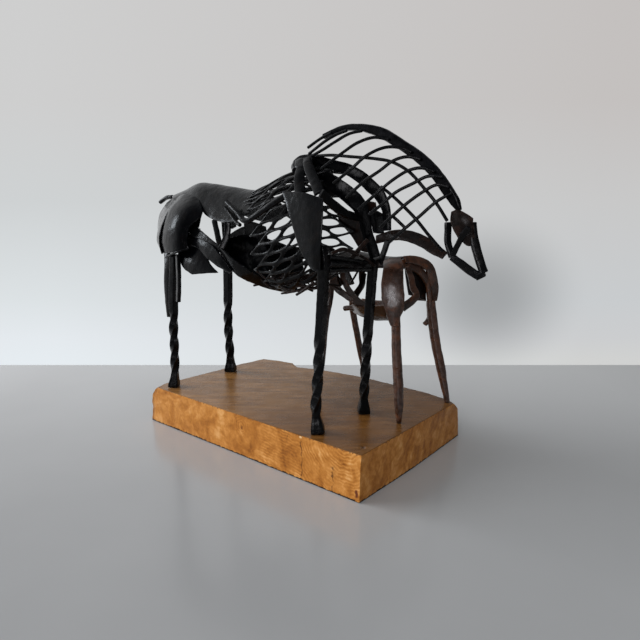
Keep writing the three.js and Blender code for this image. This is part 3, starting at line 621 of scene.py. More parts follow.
def slab():
    corners, leans, lives = (np.array(values + values[:1], float)
                             for values in (SLAB_TOP, SLAB_LEAN, SLAB_LIVE))
    run = np.concatenate([[0], np.cumsum(np.linalg.norm(np.diff(corners, axis=0), axis=1))])
    marks = np.unique(np.concatenate([np.arange(0, run[-1] - 0.8, RIM_STEP), run[:-1]]))
    rim, lean = (np.stack([np.interp(marks, run, column) for column in values.T], axis=1)
                 for values in (corners, leans))
    live = np.interp(marks, run, lives)
    rings, bark, dark = [], [], []

    def lay(ring, heights, barky, darkened):
        rings.append(np.column_stack([ring, heights]))
        bark.append(barky)
        dark.append(darkened)

    for z in SIDE_HEIGHTS:
        level = np.full(len(rim), z)
        ring = rim + lean * np.interp(z, [0, SLAB_WORN_HEIGHT, SLAB_THICK], [1, 0.7, 0])
        place = np.column_stack([ring, level])
        sunk = live * (BARK_SUNK - BARK_RELIEF * layered(place, BARKED, 3))
        sunk = sunk + SAWN_WAVE * (1 - lumps(place, 20, 6))
        sunk = sunk + (0.3 + 1.8 * live) * (max(0.0, z - SLAB_THICK + TOP_EASED) / TOP_EASED) ** 2
        sunk = sunk + (FOOT_EASED if z == 0 else 0.0)
        ring = ring + unit(SLAB_MIDDLE - rim) * np.maximum(sunk, 0)[:, None]
        # The bottom ring is marked dark: the dark underside edge together with painted contact shade
        lay(ring, level, live, np.full(len(rim), 1.0 if z < 1 else 0.0))
    edge = rings[-1][:, :2]
    reach = np.linalg.norm(SLAB_MIDDLE - edge, axis=1)
    for inset in TOP_INSETS:
        ring = edge + (SLAB_MIDDLE - edge) * np.minimum(inset / reach, 0.985)[:, None]
        place = np.column_stack([ring, np.full(len(ring), SLAB_THICK)])
        knot = np.linalg.norm(ring - KNOT, axis=1)
        drop = SAWN_WAVE * (1 - lumps(place, 30, 7)) + 0.35 * live * np.exp(-inset / 3)
        drop = drop + KNOT_DEPTH * np.exp(-(knot / 2.0) ** 2)
        lay(ring, SLAB_THICK - drop, live * math.exp(-inset / 2.5), 0.9 * np.exp(-(knot / 2.4) ** 4))
    piece("burl_base", BURL, rings_to_mesh(np.array(rings)), smooth_angle=30,
          marks={"bark": np.concatenate(bark), "dark": np.concatenate(dark)})


slab()


# The mare's legs: square bar, twisted below the knee and flared into a hoof

def leg(path, twist_top, hoof, wide=LEG_BAR, seed=1):
    def turn(centres):
        twisted = twist_top - np.clip(centres[:, 2], TWIST_FOOT, twist_top)
        return math.radians(45) - math.radians(90) * twisted / QUARTER_TWIST

    def swell(centres):
        height = centres[:, 2] - SLAB_THICK
        size = hoof / LEG_BAR
        return np.interp(height, [0, 2, 6, 10, 14, 18, 22, 27],
                         [0.96 * size, 1.02 * size, 0.98 * size, 0.86 * size, 0.74 * size, 0.98, 0.95, 1.0])

    places = [(x, y, max(z, STAND)) for x, y, z in path]
    return sweep(places, wide, LEG_BAR, (-0.63, -0.78, 0), step=1.1, radius=1.1, turn=turn, swell=swell,
                 rough=0.28, seed=seed, cut=0.3)


LEG_FORE_NEAR = [(-71, 18, 52), (-74, 18, 78), (-72, 18, 107), (-70, 18, 130), (-69, 18, 152), (-67, 18, 174),
                 (-65, 18, 201), (-64, 18, 222), (-64, 18, 241), (-67, 18, 258)]
LEG_FORE_FAR = [(-67, 101, 52), (-67, 101, 74), (-66, 101, 95), (-65, 101, 113), (-64, 101, 137),
                (-62, 101, 168), (-60, 101, 197), (-58, 101, 224), (-54, 98, 241)]
LEG_HIND_NEAR = [(-333, 18, 52), (-329, 18, 72), (-328, 18, 91), (-327, 18, 112), (-327, 18, 134),
                 (-325, 18, 155), (-324, 18, 176), (-320, 18, 210), (-320, 20, 238)]
LEG_HIND_FAR = [(-328, 119, 52), (-328, 119, 78), (-329, 119, 95), (-330, 119, 112), (-330, 119, 128),
                (-330, 119, 145), (-328, 119, 178), (-326, 118, 206), (-317, 112, 228)]

piece("leg_fore_near", BLACK, leg(LEG_FORE_NEAR, 160, 15, seed=11))
piece("leg_fore_far", BLACK, leg(LEG_FORE_FAR, 158, 14.5, seed=13))
piece("leg_hind_near", BLACK, leg(LEG_HIND_NEAR, 160, 14, seed=15))
piece("leg_hind_far", BLACK, leg(LEG_HIND_FAR, 162, 14, wide=11, seed=17))


# The mare's hind quarters

piece("croup_plate", BLACK, saddle([
    ((-374, 314.5), (-352, 46, 310)),
    ((-340, 322.5), (-322, 41, 308)),
    ((-312, 330), (-284, 33, 300)),
    ((-283, 328), (-257, 28, 286)),
    ((-250, 323.5), (-228, 25, 280)),
    ((-222, 319.5), (-204, 24, 281)),
    ((-200, 317), (-181, 27, 291)),
], 62, dent=0.35, seed=21))
piece("haunch_plate_near", BLACK, plate([
    [(-344, 50, 314), (-322, 44, 316), (-303, 43, 315), (-283, 37, 308)],
    [(-350, 34, 295), (-322, 23, 296), (-290, 19, 296), (-263, 24, 289)],
    [(-357, 28, 272), (-325, 14, 273), (-293, 9, 275), (-276, 16, 275)],
    [(-356, 23, 253), (-325, 11, 255), (-294, 7, 256), (-280, 13, 258)],
    [(-345, 19, 237), (-319, 10, 239), (-293, 7, 242), (-278, 13, 246)],
], dent=0.25, wobble=0.7, seed=23),
      rod([(-323, 12.5, 235.5), (-308, 8.5, 239), (-293, 6.5, 242.5), (-279, 12, 246.5)], 2.8, seed=24),
      skin=GLOSSY_SHADED_BLACK)
piece("haunch_plate_far", BLACK, plate([
    [(-298, 100, 263), (-271, 99, 273), (-250, 100, 274), (-243, 102, 256)],
    [(-312, 104, 245), (-278, 106, 254), (-245, 106, 251), (-193, 106, 248)],
    [(-308, 105, 231), (-275, 108, 235), (-235, 107, 234), (-187, 106, 235)],
    [(-286, 102, 221), (-260, 104, 217), (-229, 104, 216), (-192, 104, 221)],
], seed=26))
piece("buttock_strap", BLACK, plate([
    [(-384, 60, 307), (-354, 51, 313), (-328, 46, 315)],
    [(-399, 57, 290), (-364, 40, 293), (-332, 26, 295)],
    [(-398, 52, 274), (-367, 32, 273), (-340, 17, 272)],
    [(-385, 44, 256), (-364, 26, 255), (-341, 13.5, 253)],
    [(-362, 34, 240), (-348, 21, 240), (-334, 11.5, 237)],
], dent=0.5, wobble=0.7, seed=28), skin=GLOSSY_SHADED_BLACK)
piece("buttock_band", BLACK, strap(
    [(-345, 56, 311), (-352, 47, 291), (-354, 41, 277), (-354, 35, 262), (-350, 30, 247), (-342, 25, 233),
     (-337, 21, 218), (-336, 18, 195), (-333, 16, 171), (-331, 15, 152)],
    [13, 14, 14, 13, 12, 12, 12, 11, 10, 7], (0.1, -1, 0), crown=0.8, rough=0.3, seed=30))
piece("thigh_bar", BLACK, bar(
    [(-304, 14, 238), (-301, 12, 218), (-302, 12, 199), (-305, 12, 176)], 8, (-0.3, -1, 0), 5,
    rough=0.35, seed=32))
piece("thigh_flap", BLACK, plate([
    [(-313, 20, 243), (-288, 25, 256), (-262, 25, 251)],
    [(-294, 14, 222), (-267, 14, 230), (-244, 18, 230)],
    [(-273, 12, 214), (-247, 13, 217), (-227, 17, 219)],
], wobble=0.6, seed=34), skin=GLOSSY_SHADED_BLACK)
piece("tail_stub", BLACK, rod([(-374, 62, 314), (-389, 62, 313), (-405, 62, 307)], 6, rough=0.35, seed=36))
FAN_FOOT = (-222, 17, 247)
piece("flank_bars", BLACK,
      strap([(-283, 32, 295), (-285, 28, 281), (-281, 24, 270), (-258, 19, 262.5), (-239, 17, 255), FAN_FOOT],
            [15, 16, 15, 9, 7, 7],
            [(0.6, -0.8, 0), (0.6, -0.8, 0), (0.5, -0.9, 0.2), (0, -1, 0.2), (0, -1, 0.2)],
            rough=0.3, seed=38),
      strap([(-244, 27, 283), (-236, 23, 271), FAN_FOOT], 7, (0.5, -0.9, 0), crown=0.5, rough=0.3, seed=39),
      strap([(-219, 27, 281), (-218, 24, 265), FAN_FOOT], 8, (0.5, -0.9, 0), crown=0.5, rough=0.3, seed=40))
piece("haunch_lining", BLACK, plate([
    [(-314, 34, 276), (-296, 29, 275), (-279, 33, 272)],
    [(-313, 32, 256), (-296, 26, 256), (-276, 30, 254)],
    [(-311, 30, 243), (-296, 25, 243), (-278, 28, 242)],
], wobble=0.6, seed=37), skin=GLOSSY_SHADED_BLACK)
piece("groin_sheet", BLACK, plate([
    [(-258, 62, 259), (-231, 62, 265), (-195, 62, 268)],
    [(-263, 56, 249), (-227, 60, 249), (-188, 60, 251)],
    [(-245, 45, 238), (-214, 50, 231), (-175, 50, 230)],
    [(-216, 38, 228), (-194, 43, 216), (-169, 50, 208)],
], dent=0.9, wobble=0.8, seed=35), skin=GLOSSY_SHADED_BLACK)
piece("flank_bar_far", BLACK,
      strap([(-300, 98, 297), (-296, 102, 284), (-291, 101, 271)], 10, (0, 1, 0), seed=41),
      strap([(-320, 113, 222), (-317, 110, 244), (-311, 104, 268), (-304, 94, 291), (-300, 84, 305)], 13,
            (-0.2, 1, 0.3), crown=0.8, rough=0.4, seed=47))


# The mare's belly and rib cage

piece("belly_strap", BLACK, strap(
    [(-295, 25, 255), (-262, 18, 253), (-238, 14, 244), (-220, 13, 234), (-204, 17, 222)],
    [10, 13, 19, 17, 6],
    [(0.1, -1, 0.1), (0.1, -1, 0.1), (0.2, -1, 0), (0.2, -1, -0.3), (0.2, -1, -0.5)],
    crown=1.0, rough=0.3, seed=42), skin=GLOSSY_SHADED_BLACK)
piece("belly_keel", BLACK, strap(
    [(-222, 17, 247), (-204, 16, 233), (-191, 21, 223), (-185, 31, 216), (-178, 44, 209), (-163, 53, 203),
     (-147, 57, 200)], [8, 16, 20, 20, 16, 11, 7],
    [(-0.2, -1, -0.2), (-0.1, -1, -0.3), (0.1, -1, -0.4), (0.2, -1, -0.5), (0.2, -1, -0.6),
     (0.1, -0.7, -0.8)],
    crown=0.8, rough=0.3, seed=43))

RIB_X = [-206, -172, -140, -110, -72]
RIB_TOP = [317, 327, 338, 341, 337]
RIB_BOTTOM = [217, 200, 197, 205, 226]
RIB_HALF = [36, 40, 41, 41, 36]
RIB_THICK = 2.0
RIB_STRAND = 1.75
RIB_SLANT = -1.1
HOLE_POINTS = 24
HOLE_ROUNDNESS = 2 / 2.7
ALONG_STRAND = np.array([29.5, 2.0])
UP_STRAND = np.array([16.0, 12.7])
RIB_ANCHOR = np.array([-134.0, -31.0])
SEAM_LOW, SEAM_HIGH = -125.0, 208.0
REAR_LOW, REAR_LEAN, FRONT = -186.0, 26.0, -74.0
MEAN_WIDE, MEAN_HIGH = 41.0, 66.0


def outside_linear(x, marks, values):
    """Straight interpolation that runs on past both ends"""
    k = np.clip(np.searchsorted(marks, x) - 1, 0, len(marks) - 2)
    marks, values = np.array(marks, float), np.array(values, float)
    share = np.clip((x - marks[k]) / (marks[k + 1] - marks[k]), -0.3, 1.3)
    return values[k] + (values[k + 1] - values[k]) * share


TURNS = np.radians(np.arange(0, 361, 0.5))
PACE = np.hypot(MEAN_WIDE * np.sin(TURNS), MEAN_HIGH * np.cos(TURNS)) * math.radians(0.5)
WALKED = np.concatenate([[0], np.cumsum(PACE[:-1])])


def rib_angle(distance):
    """Angle round the barrel, up from its near side, at a distance along the sheet"""
    return np.sign(distance) * np.interp(np.abs(distance), WALKED, TURNS)


def rib_point(x, distance, inward):
    top = outside_linear(x, RIB_X, RIB_TOP) - inward
    bottom = outside_linear(x, RIB_X, RIB_BOTTOM) + inward
    angle = rib_angle(distance)
    return np.stack([
        x,
        MIDDLE_Y - (outside_linear(x, RIB_X, RIB_HALF) - inward) * np.cos(angle),
        (top + bottom) / 2 + (top - bottom) / 2 * np.sin(angle),
    ], axis=-1)


def lattice(i, j):
    return RIB_ANCHOR[:, None] + np.outer(ALONG_STRAND, i) + np.outer(UP_STRAND, j)


def in_sheet(i, j):
    x, distance = lattice([i], [j])[:, 0]
    rear = REAR_LOW - REAR_LEAN * max(0.0, math.sin(rib_angle(distance))) ** 2
    return rear < x < FRONT and SEAM_LOW < distance < SEAM_HIGH


def mesh_cell(cell, cells):
    """One diamond of the stretched mesh, with a rounded, slanted hole and a rim where no cell is next"""
    i, j = cell
    sine = abs(np.cross(ALONG_STRAND, UP_STRAND)) / np.linalg.norm(ALONG_STRAND) / np.linalg.norm(UP_STRAND)
    edge_u, edge_v = (2 * RIB_STRAND / sine / np.linalg.norm(way) for way in (ALONG_STRAND, UP_STRAND))
    angles = np.radians(np.arange(HOLE_POINTS) * 360 / HOLE_POINTS)
    c, s = np.cos(angles), np.sin(angles)
    square = np.maximum(np.abs(c), np.abs(s))
    rim_u, rim_v = c / square, s / square
    hole_u = (1 - edge_u) * np.sign(c) * np.abs(c) ** HOLE_ROUNDNESS
    hole_v = (1 - edge_v) * np.sign(s) * np.abs(s) ** HOLE_ROUNDNESS
    for side in (1, -1):
        if (i + side, j) not in cells:
            rim_u = np.where(rim_u * side > 0.99, rim_u * (1 + 0.9 * edge_u), rim_u)
        if (i, j + side) not in cells:
            rim_v = np.where(rim_v * side > 0.99, rim_v * (1 + 0.9 * edge_v), rim_v)
    slant = RIB_SLANT * (0.8 * s + 0.5 * c)
    layers = []
    for u, v, tilt in ((rim_u, rim_v, 0 * slant), (hole_u, hole_v, slant)):
        x, distance = lattice(i + 0.5 + u / 2, j + 0.5 + v / 2)
        layers += [rib_point(x, distance, depth + tilt) for depth in (0.0, RIB_THICK)]
    rim_front, rim_back, hole_front, hole_back = (k * HOLE_POINTS for k in range(4))
    open_side = (np.abs(rim_u) > 1.001) | (np.abs(rim_v) > 1.001)
    faces = []
    for k in range(HOLE_POINTS):
        n = (k + 1) % HOLE_POINTS
        loops = [(rim_front, hole_front), (hole_front, hole_back), (hole_back, rim_back)]
        if open_side[k] and open_side[n]:
            loops.append((rim_back, rim_front))
        faces += [(a + k, a + n, b + n, b + k) for a, b in loops]
    return np.vstack(layers), faces


def loose_strands(knots, cells):
    """Single strands between knots where the sheet's rim has no whole cell"""
    covered = set()
    for i, j in cells:
        covered |= {((i, j), (i + 1, j)), ((i, j + 1), (i + 1, j + 1)),
                    ((i, j), (i, j + 1)), ((i + 1, j), (i + 1, j + 1))}
    strands = []
    for i, j in sorted(knots):
        for there in ((i + 1, j), (i, j + 1)):
            if there in knots and ((i, j), there) not in covered:
                x, distance = lattice(np.linspace(i, there[0], 5), np.linspace(j, there[1], 5))
                strands.append(strap(rib_point(x, distance, RIB_THICK / 2), 2 * RIB_STRAND - 0.4,
                                     (0, -1, 0.2), RIB_THICK, rough=0.1, seed=44))
    return strands


def rib_cage():
    """A sheet of stretched mesh rolled into a barrel"""
    reach = range(-24, 25)
    knots = {(i, j) for i in reach for j in reach if in_sheet(i, j)}
    cells = {(i, j) for i, j in knots if {(i + 1, j), (i, j + 1), (i + 1, j + 1)} <= knots}
    diamonds = [mesh_cell(cell, cells) for cell in sorted(cells)]
    piece("rib_mesh", BLACK, *diamonds, *loose_strands(knots, cells), smooth_angle=180, finer=1)


rib_cage()
piece("spine_wires", BLACK, *(
    rod(rib_point(np.linspace(-206 + 3 * k, -96 - 4 * k, 7), np.full(7, 46.0 + 7.5 * k), 3.2), 2.6, rough=0.3,
        seed=180 + k) for k in range(7)))
piece("flank_lining", BLACK, plate([
    [(-228, 62, 282), (-210, 62, 281), (-191, 64, 275)],
    [(-229, 62, 261), (-211, 62, 259), (-190, 66, 255)],
], dent=0.9, wobble=0.8, seed=191))
piece("belly_lining", BLACK, plate([
    [(-234, 92, 252), (-194, 92, 252), (-158, 92, 249)],
    [(-223, 88, 236), (-187, 88, 235), (-154, 88, 235)],
    [(-203, 78, 219), (-168, 76, 217), (-139, 77, 221)],
], dent=0.9, wobble=0.8, seed=193))

piece("hairpin_bar", BLACK,
      rod([(-216, 24, 304), (-191, 18, 291), (-179, 14.5, 283.5), (-171, 14, 282), (-163, 14.5, 285.5),
           (-137, 15, 298), (-115, 19.5, 310)], 6.8, rough=0.25, seed=45),
      rod([(-221, 25, 298), (-209, 22.5, 290), (-196, 19, 281), (-186, 16.5, 277)], 4.6, seed=46))


def belly_strands():
    """Bent wires lying across each other in the bottom of the barrel"""
    wires = []
    for k in range(15):
        x = -176 + 5.6 * k
        y = 40 + 11 * math.sin(1.7 * k)
        z = 211 + 5 * math.sin(2.4 * k)
        rise = 9 * math.cos(1.3 * k)
        path = [(x - 15, y, z + 2 - rise), (x, y + 9, z - 3), (x + 13, y + 15, z + 2),
                (x + 25, y + 26, z + 4 + rise)]
        wires.append(rod(path, 2.6 + 0.7 * math.sin(3.1 * k), rough=0.4, seed=150 + k))
    wires.append(rod([(-112, 30, 201), (-100, 28, 207), (-86, 30, 217)], 3, seed=170))
    piece("belly_strands", BROWN, *wires, skin=UMBER)


belly_strands()


# The mare's shoulder and chest

piece("shoulder_plate_near", BLACK, plate([
    [(-120, 18, 313), (-90, 16, 312), (-64, 18, 305)],
    [(-107, 12, 294), (-79, 11, 293), (-60, 13, 292)],
    [(-98, 10, 275), (-75, 9, 274), (-59, 10.5, 274)],
    [(-89, 9, 255), (-71, 8, 255), (-60, 9.5, 256)],
    [(-74, 9, 235), (-66, 8, 232), (-60, 9, 233)],
], dent=0.2, seed=51))
piece("shoulder_plate_far", BROWN, plate([
    [(-110, 101, 291), (-94, 100, 292), (-79, 98, 292)],
    [(-107, 102, 282), (-91, 101, 278), (-72, 100, 276)],
    [(-87, 101, 263), (-80, 102, 260), (-68, 101, 259)],
    [(-77, 103, 248), (-70, 104, 246), (-61, 103, 246)],
], seed=53), skin=UMBER)
piece("withers_straps", BLACK,
      strap([(-126, 45, 337), (-133, 52, 343), (-135, 57, 347), (-128, 58, 351), (-112, 59, 352)], 6, thick=6,
            radius=1.6, rough=0.5, seed=55),
      plate([[(-133, 55, 348), (-122, 53, 350), (-108, 56, 349)],
             [(-127, 46, 339), (-116, 44, 339), (-107, 45, 340)]], 5, dent=0.8, seed=56),
      strap([(-116, 46, 341), (-112, 37, 331), (-107, 31, 320), (-101, 25.5, 311)], 12, (0.3, -1, 0.6),
            crown=1.0, rough=0.35, seed=57),
      strap([(-113, 53, 350), (-107, 45, 343), (-97, 38, 333), (-84, 30, 321), (-73, 23, 310)], 11,
            (0.3, -1, 0.7), crown=1.2, rough=0.35, seed=58))
piece("withers_web", BLACK, plate([
    [(-115, 62, 346), (-97, 64, 340), (-81, 68, 327)],
    [(-110, 58, 331), (-97, 62, 325), (-83, 66, 311)],
    [(-100, 54, 316), (-93, 58, 311), (-86, 62, 306)],
], dent=0.8, wobble=0.8, seed=195))
piece("chest_bars", BLACK,
      bar([(-62, 24, 245), (-60, 50, 241), (-56, 95, 233)], 7.5, (-0.6, -0.6, 0.4), 5, 1.3, 0.4, seed=60),
      bar([(-62, 24, 232), (-59, 55, 231), (-57, 95, 228)], 5.5, (-0.6, -0.6, 0.4), 5, 1.3, 0.4, seed=61),
      bar([(-59, 22, 239), (-57, 52, 236), (-58, 90, 230)], 5.5, (-0.6, -0.6, 0.4), 5, 1.3, 0.4, seed=62))
piece("chest_scraps", BROWN,
      plate([[(-61, 84, 304), (-53, 84, 304), (-44, 84, 302)],
             [(-60, 85, 297), (-53, 85, 297), (-44, 86, 296)],
             [(-58, 86, 292), (-52, 86, 292), (-45, 87, 291)]], dent=0.5, seed=63),
      rod([(-60, 60, 241), (-55, 68, 251), (-49, 77, 262)], 5.2, rough=0.3, seed=65),
      rod([(-59, 76, 245), (-55, 86, 239), (-51, 95, 232)], 3.4, seed=67),
      rod([(-62, 30, 249), (-58, 44, 253), (-54, 66, 246)], 4, rough=0.4, seed=69), skin=UMBER)
piece("breast_strap", BLACK, strap(
    [(-70, 22, 311), (-69, 35, 302), (-67, 50, 293), (-64, 66, 288), (-61, 78, 286)], 9, (0.45, -0.8, 0.5), 4,
    rough=0.4, seed=64))


# The mare's neck

piece("neck_strap_upper", BLACK, strap(
    [(-122, 58, 351), (-106, 60, 348), (-91, 64, 343), (-71, 68, 337), (-58, 74, 329), (-48, 80, 319),
     (-39, 84, 309), (-32, 86, 294), (-30, 86, 272)],
    [8, 10, 11, 12, 13, 13.5, 12.5, 9.5, 8.5], (0.3, -1, 0.1), crown=0.7, rough=0.3, seed=66), skin=GLOSSY_SHADED_BLACK)
piece("neck_strap_lower", BLACK, strap(
    [(-118, 57, 340), (-101, 62, 330), (-82, 66, 319), (-70, 72, 309), (-61, 78, 298), (-58, 82, 286),
     (-57, 87, 270), (-54, 93, 254), (-52, 97, 242)],
    [12, 14, 17, 18, 17, 14, 12.5, 12.5, 12.5], (0.3, -1, 0.1), crown=0.8, rough=0.3, seed=68), skin=GLOSSY_SHADED_BLACK)
piece("chest_plate", BLACK, plate([
    [(-54, 86, 293), (-47, 88, 294), (-36, 87, 290)],
    [(-53, 88, 281), (-46, 90, 281), (-36, 88, 279)],
    [(-51, 90, 269), (-45, 91, 268), (-36, 89, 269)],
], dent=0.5, seed=70))
piece("chest_strap", BLACK, strap([(-27, 83, 262), (-35, 89, 250), (-45, 96, 236)], 7.5, (-0.3, -1, 0),
                                  rough=0.3, seed=72))
piece("throat_strap", BLACK, strap(
    [(-44, 87, 262), (-24, 84, 267), (-8, 80, 268), (8, 76, 266), (22, 72, 262), (36, 67, 256),
     (50, 63, 250)],
    [9, 11, 11.5, 12, 12, 11, 8], (0.45, -0.9, 0.3), crown=0.8, rough=0.3, seed=74), skin=UMBER)
piece("crest_strip", BLACK, sweep(
    [(-95, 59, 371.7), (-70, 59, 377.6), (-49, 59, 376.6), (-24, 59, 369.8), (-1, 59, 357), (22, 59, 342),
     (39, 59, 327), (52, 59, 311), (60, 59, 300.5), (65, 58.5, 292.5)],
    [9, 9, 9, 9, 9, 9, 9, 9, 7.5, 4.5], [5.5, 6, 7, 10, 9.5, 10, 10, 10, 9, 5], (0.3, 0, 1),
    radius=2.4, rough=0.25, seed=76), skin=GLOSSY_SHADED_BLACK)


# The mare's mane: rods from the near side of her neck up to the crest, and stringers across them

MANE_RODS = [
    [(-114, 53, 361), (-96, 54, 369.5), (-82, 55, 374)],
    [(-110, 50, 354), (-99, 49, 359), (-87, 49, 365), (-73, 51, 371), (-60, 52, 374)],
    [(-103, 46, 351), (-87, 45, 356), (-71, 46, 363), (-55, 49, 370), (-41, 52, 372)],
    [(-81, 36, 336), (-61, 41, 349), (-42, 46, 360), (-25, 50, 364), (-10, 53, 361)],
    [(-60, 29, 320), (-43, 35, 333), (-29, 42, 346), (-11, 47, 353), (5, 50, 352), (16, 53, 347)],
    [(-43, 28, 305), (-27, 34, 320), (-11, 40, 331), (1, 45, 340), (14, 49, 343), (26, 53, 340)],
    [(-28, 28, 294), (-12, 34, 308), (2, 41, 321), (17, 46, 330), (29, 50, 332), (41, 53, 328)],
    [(-15, 28, 289), (-4, 32, 298), (9, 38, 310), (24, 44, 318), (36, 49, 324), (49, 53, 323)],
    [(-2, 28, 277), (9, 31, 287), (22, 38, 300), (36, 45, 311), (46, 49, 316), (56, 53, 314)],
    [(7, 29, 262), (22, 34, 276), (34, 41, 288), (46, 47, 300), (59, 54, 309)],
]
MANE_STRINGERS = [
    [(-109, 56, 352), (-82, 52, 351), (-50, 48, 347), (-20, 47, 343), (-2, 47, 339), (17, 47, 329),
     (34, 49, 312), (46, 51, 298), (55, 55, 283)],
    [(-11, 42, 316), (4, 39, 307), (19, 37, 296), (32, 38, 284), (43, 44, 269), (53, 52, 255)],
    [(9, 34, 287), (15, 35, 282), (22, 36, 276)],
]
for k, path in enumerate(MANE_RODS):
    piece(f"mane_rod_{k + 1}", BLACK, rod(path, seed=80 + k))
for k, path in enumerate(MANE_STRINGERS):
    piece(f"mane_stringer_{k + 1}", BLACK, rod(path, seed=92 + k))


# The mare's head

CHIN = (59, 60, 249.5)
NOSE = (91, 60, 236.5)
piece("brow_plate", BLACK, plate([
    [(57.5, 57, 292), (64, 56, 294), (73, 57, 290), (79, 58, 286)],
    [(57, 57, 283), (67, 54, 283), (74, 55, 281), (80, 58, 280)],
    [(61, 58, 274), (69, 55, 274), (75, 56, 271), (81, 58, 272)],
    [(65, 59, 268), (70, 58, 264), (76, 58, 260), (83, 59, 262)],
], 3, dent=0.6, wobble=0.5, seed=96), smooth_angle=16, skin=UMBER)
piece("head_frame", BLACK,
      bar([(52.5, 61, 282), (53, 61, 274), (53.5, 60.5, 265), (56, 60.5, 256), CHIN], 6.5,
          (0.6, -0.8, 0), 5, 1.3, 0.35, seed=98),
      bar([(77.5, 60.5, 282), (79, 60, 271), (81.5, 60, 261), (86, 60, 248.5), NOSE], [7, 7.5, 8, 8, 8],
          (0.5, -0.85, 0), 6, seed=99),
      bar([CHIN, (68.5, 60, 243.5), (78, 60, 237.5), (87, 60, 232.5)], [7, 8, 8, 7], (0.5, -0.85, 0), 6,
          seed=100),
      bar([(83.5, 60, 232), (91.5, 60, 236.2)], 6, (0.5, -0.85, 0), 5.6, seed=102),
      bar([(60, 58.5, 251), (65.5, 57, 261), (71.5, 54, 270.5), (77.5, 52.5, 277.5)], 5.5,
          (0.6, -0.8, 0), 3.6, 1.2, 0.35, seed=101))


# The foal, in brown steel on the mare's far side, facing back along her belly

def foal_leg(path, wide, seed):
    places = [(x, y, max(z, STAND)) for x, y, z in path]
    return sweep(places, wide, round_bar=True, step=1.3, rough=0.35, seed=seed, cut=0.3)


piece("foal_leg_hind_near", BROWN, foal_leg(
    [(-16, 98.5, 52), (-17, 99, 74), (-19, 100, 97), (-24, 102, 137), (-27, 103, 184)],
    [5.5, 10.5, 11.5, 11, 10], 110))
piece("foal_leg_hind_far", BROWN, foal_leg(
    [(-5, 200, 52), (-14, 197, 94), (-22, 193, 133), (-26, 189, 166), (-27, 186, 184)],
    [7, 11.5, 12, 12.5, 11], 112),
      rod([(-35, 188, 152), (-30, 189, 160), (-28, 188, 172)], 6.5, rough=0.5, seed=113))
piece("foal_leg_fore_far", BROWN, foal_leg(
    [(-136, 209, 52), (-143, 204, 91), (-148, 198, 128), (-150, 191, 160), (-146, 184, 172)],
    [7, 9, 9, 9, 8], 114),
      rod([(-134, 150, 167), (-126, 150, 169), (-117, 150, 169)], 6.7, rough=0.5, seed=115))
piece("foal_leg_fore_near", BROWN, foal_leg(
    [(-141, 102, 52), (-140, 104, 78), (-137, 106, 105), (-134, 110, 158), (-132, 116, 184),
     (-130, 119, 208)],
    [7, 9, 9.5, 9.5, 9, 7], 116))
piece("foal_haunch_strap", BROWN, strap(
    [(-46, 124, 237), (-36, 110, 230), (-31, 101, 213), (-28, 98, 199), (-25, 96.5, 187), (-25, 96.5, 176),
     (-24, 97, 166)],
    [20, 23, 25, 26, 22, 14, 9],
    [(0, -0.3, 1), (0.3, -0.8, 0.6), (0.45, -0.9, 0), (0.45, -0.9, 0), (0.45, -0.9, 0), (0.45, -0.9, -0.1)],
    crown=1.6, rough=0.35, seed=118))
piece("foal_haunch_far", BROWN, plate([
    [(-48, 174, 222), (-40, 176, 223), (-33, 178, 222)],
    [(-45, 178, 201), (-38, 181, 201), (-32, 182, 202)],
    [(-42, 178, 183), (-36, 180, 183), (-31, 182, 183)],
], seed=120))
piece("foal_hip_arch", BROWN, strap(
    [(-53, 126, 234), (-44, 138, 232), (-37, 152, 229), (-31, 166, 221), (-28, 178, 207), (-27, 184, 187),
     (-26, 187, 172)], [10, 10.5, 11.5, 13, 13, 13, 12],
    [(1, -0.2, 0.6), (1, 0, 0.4), (1, 0.2, 0.3), (1, 0.3, 0.2), (1, 0.3, 0), (1, 0.2, 0), (1, 0, 0)], 5,
    radius=1.8, rough=0.4, seed=122))
piece("foal_rump_strap", BROWN, strap(
    [(-41, 142, 237), (-36, 155, 236), (-31, 169, 232), (-27, 179, 225), (-26, 188, 208), (-26, 192, 195),
     (-26, 191, 183)],
    [9, 11, 13, 14, 14, 12, 9], (0.6, -0.5, 0.5), crown=0.6, rough=0.4, seed=124))
piece("foal_flank_loop", BROWN, strap(
    [(-34, 138, 229), (-26, 133, 218), (-20, 128, 207), (-13, 124, 199), (-16, 117, 192), (-21, 107, 186)],
    [6.5, 7, 7.5, 8, 9, 10], (0.8, -0.6, -0.1), rough=0.4, crown=0.5, seed=126))
piece("foal_flank_lining", BROWN, plate([
    [(-46, 150, 230), (-40, 160, 229), (-34, 172, 224)],
    [(-46, 156, 212), (-38, 168, 210), (-32, 180, 206)],
    [(-44, 160, 192), (-36, 172, 188), (-31, 182, 184)],
], dent=0.8, seed=127), skin=UMBER)
piece("foal_back_plate", BROWN, saddle([
    ((-134, 246), (-130, 122, 230)),
    ((-100, 241), (-100, 118, 227)),
    ((-68, 238), (-68, 118, 227)),
    ((-43, 239), (-43, 122, 229)),
], 148, dent=0.5, wobble=0.8, seed=128), skin=UMBER)
piece("foal_belly_plate", BROWN, plate([
    [(-39, 111, 188), (-52, 125, 170), (-62, 150, 161), (-66, 172, 168), (-66, 184, 182)],
    [(-69, 118, 182), (-77, 134, 166), (-84, 152, 158), (-88, 176, 164), (-88, 188, 178)],
    [(-93, 124, 178), (-98, 138, 166), (-104, 154, 159), (-108, 178, 162), (-108, 190, 176)],
    [(-109, 131, 178), (-119, 146, 172), (-126, 160, 162), (-131, 178, 164), (-134, 190, 176)],
], dent=0.5, wobble=0.8, seed=130))
piece("foal_chest_strap", BROWN, strap(
    [(-131, 118, 226), (-127, 117, 211), (-122, 119, 198), (-115, 125, 190), (-107, 130, 183)],
    [9, 9.5, 9, 8, 7], (0.3, -1, 0), rough=0.35, seed=132))
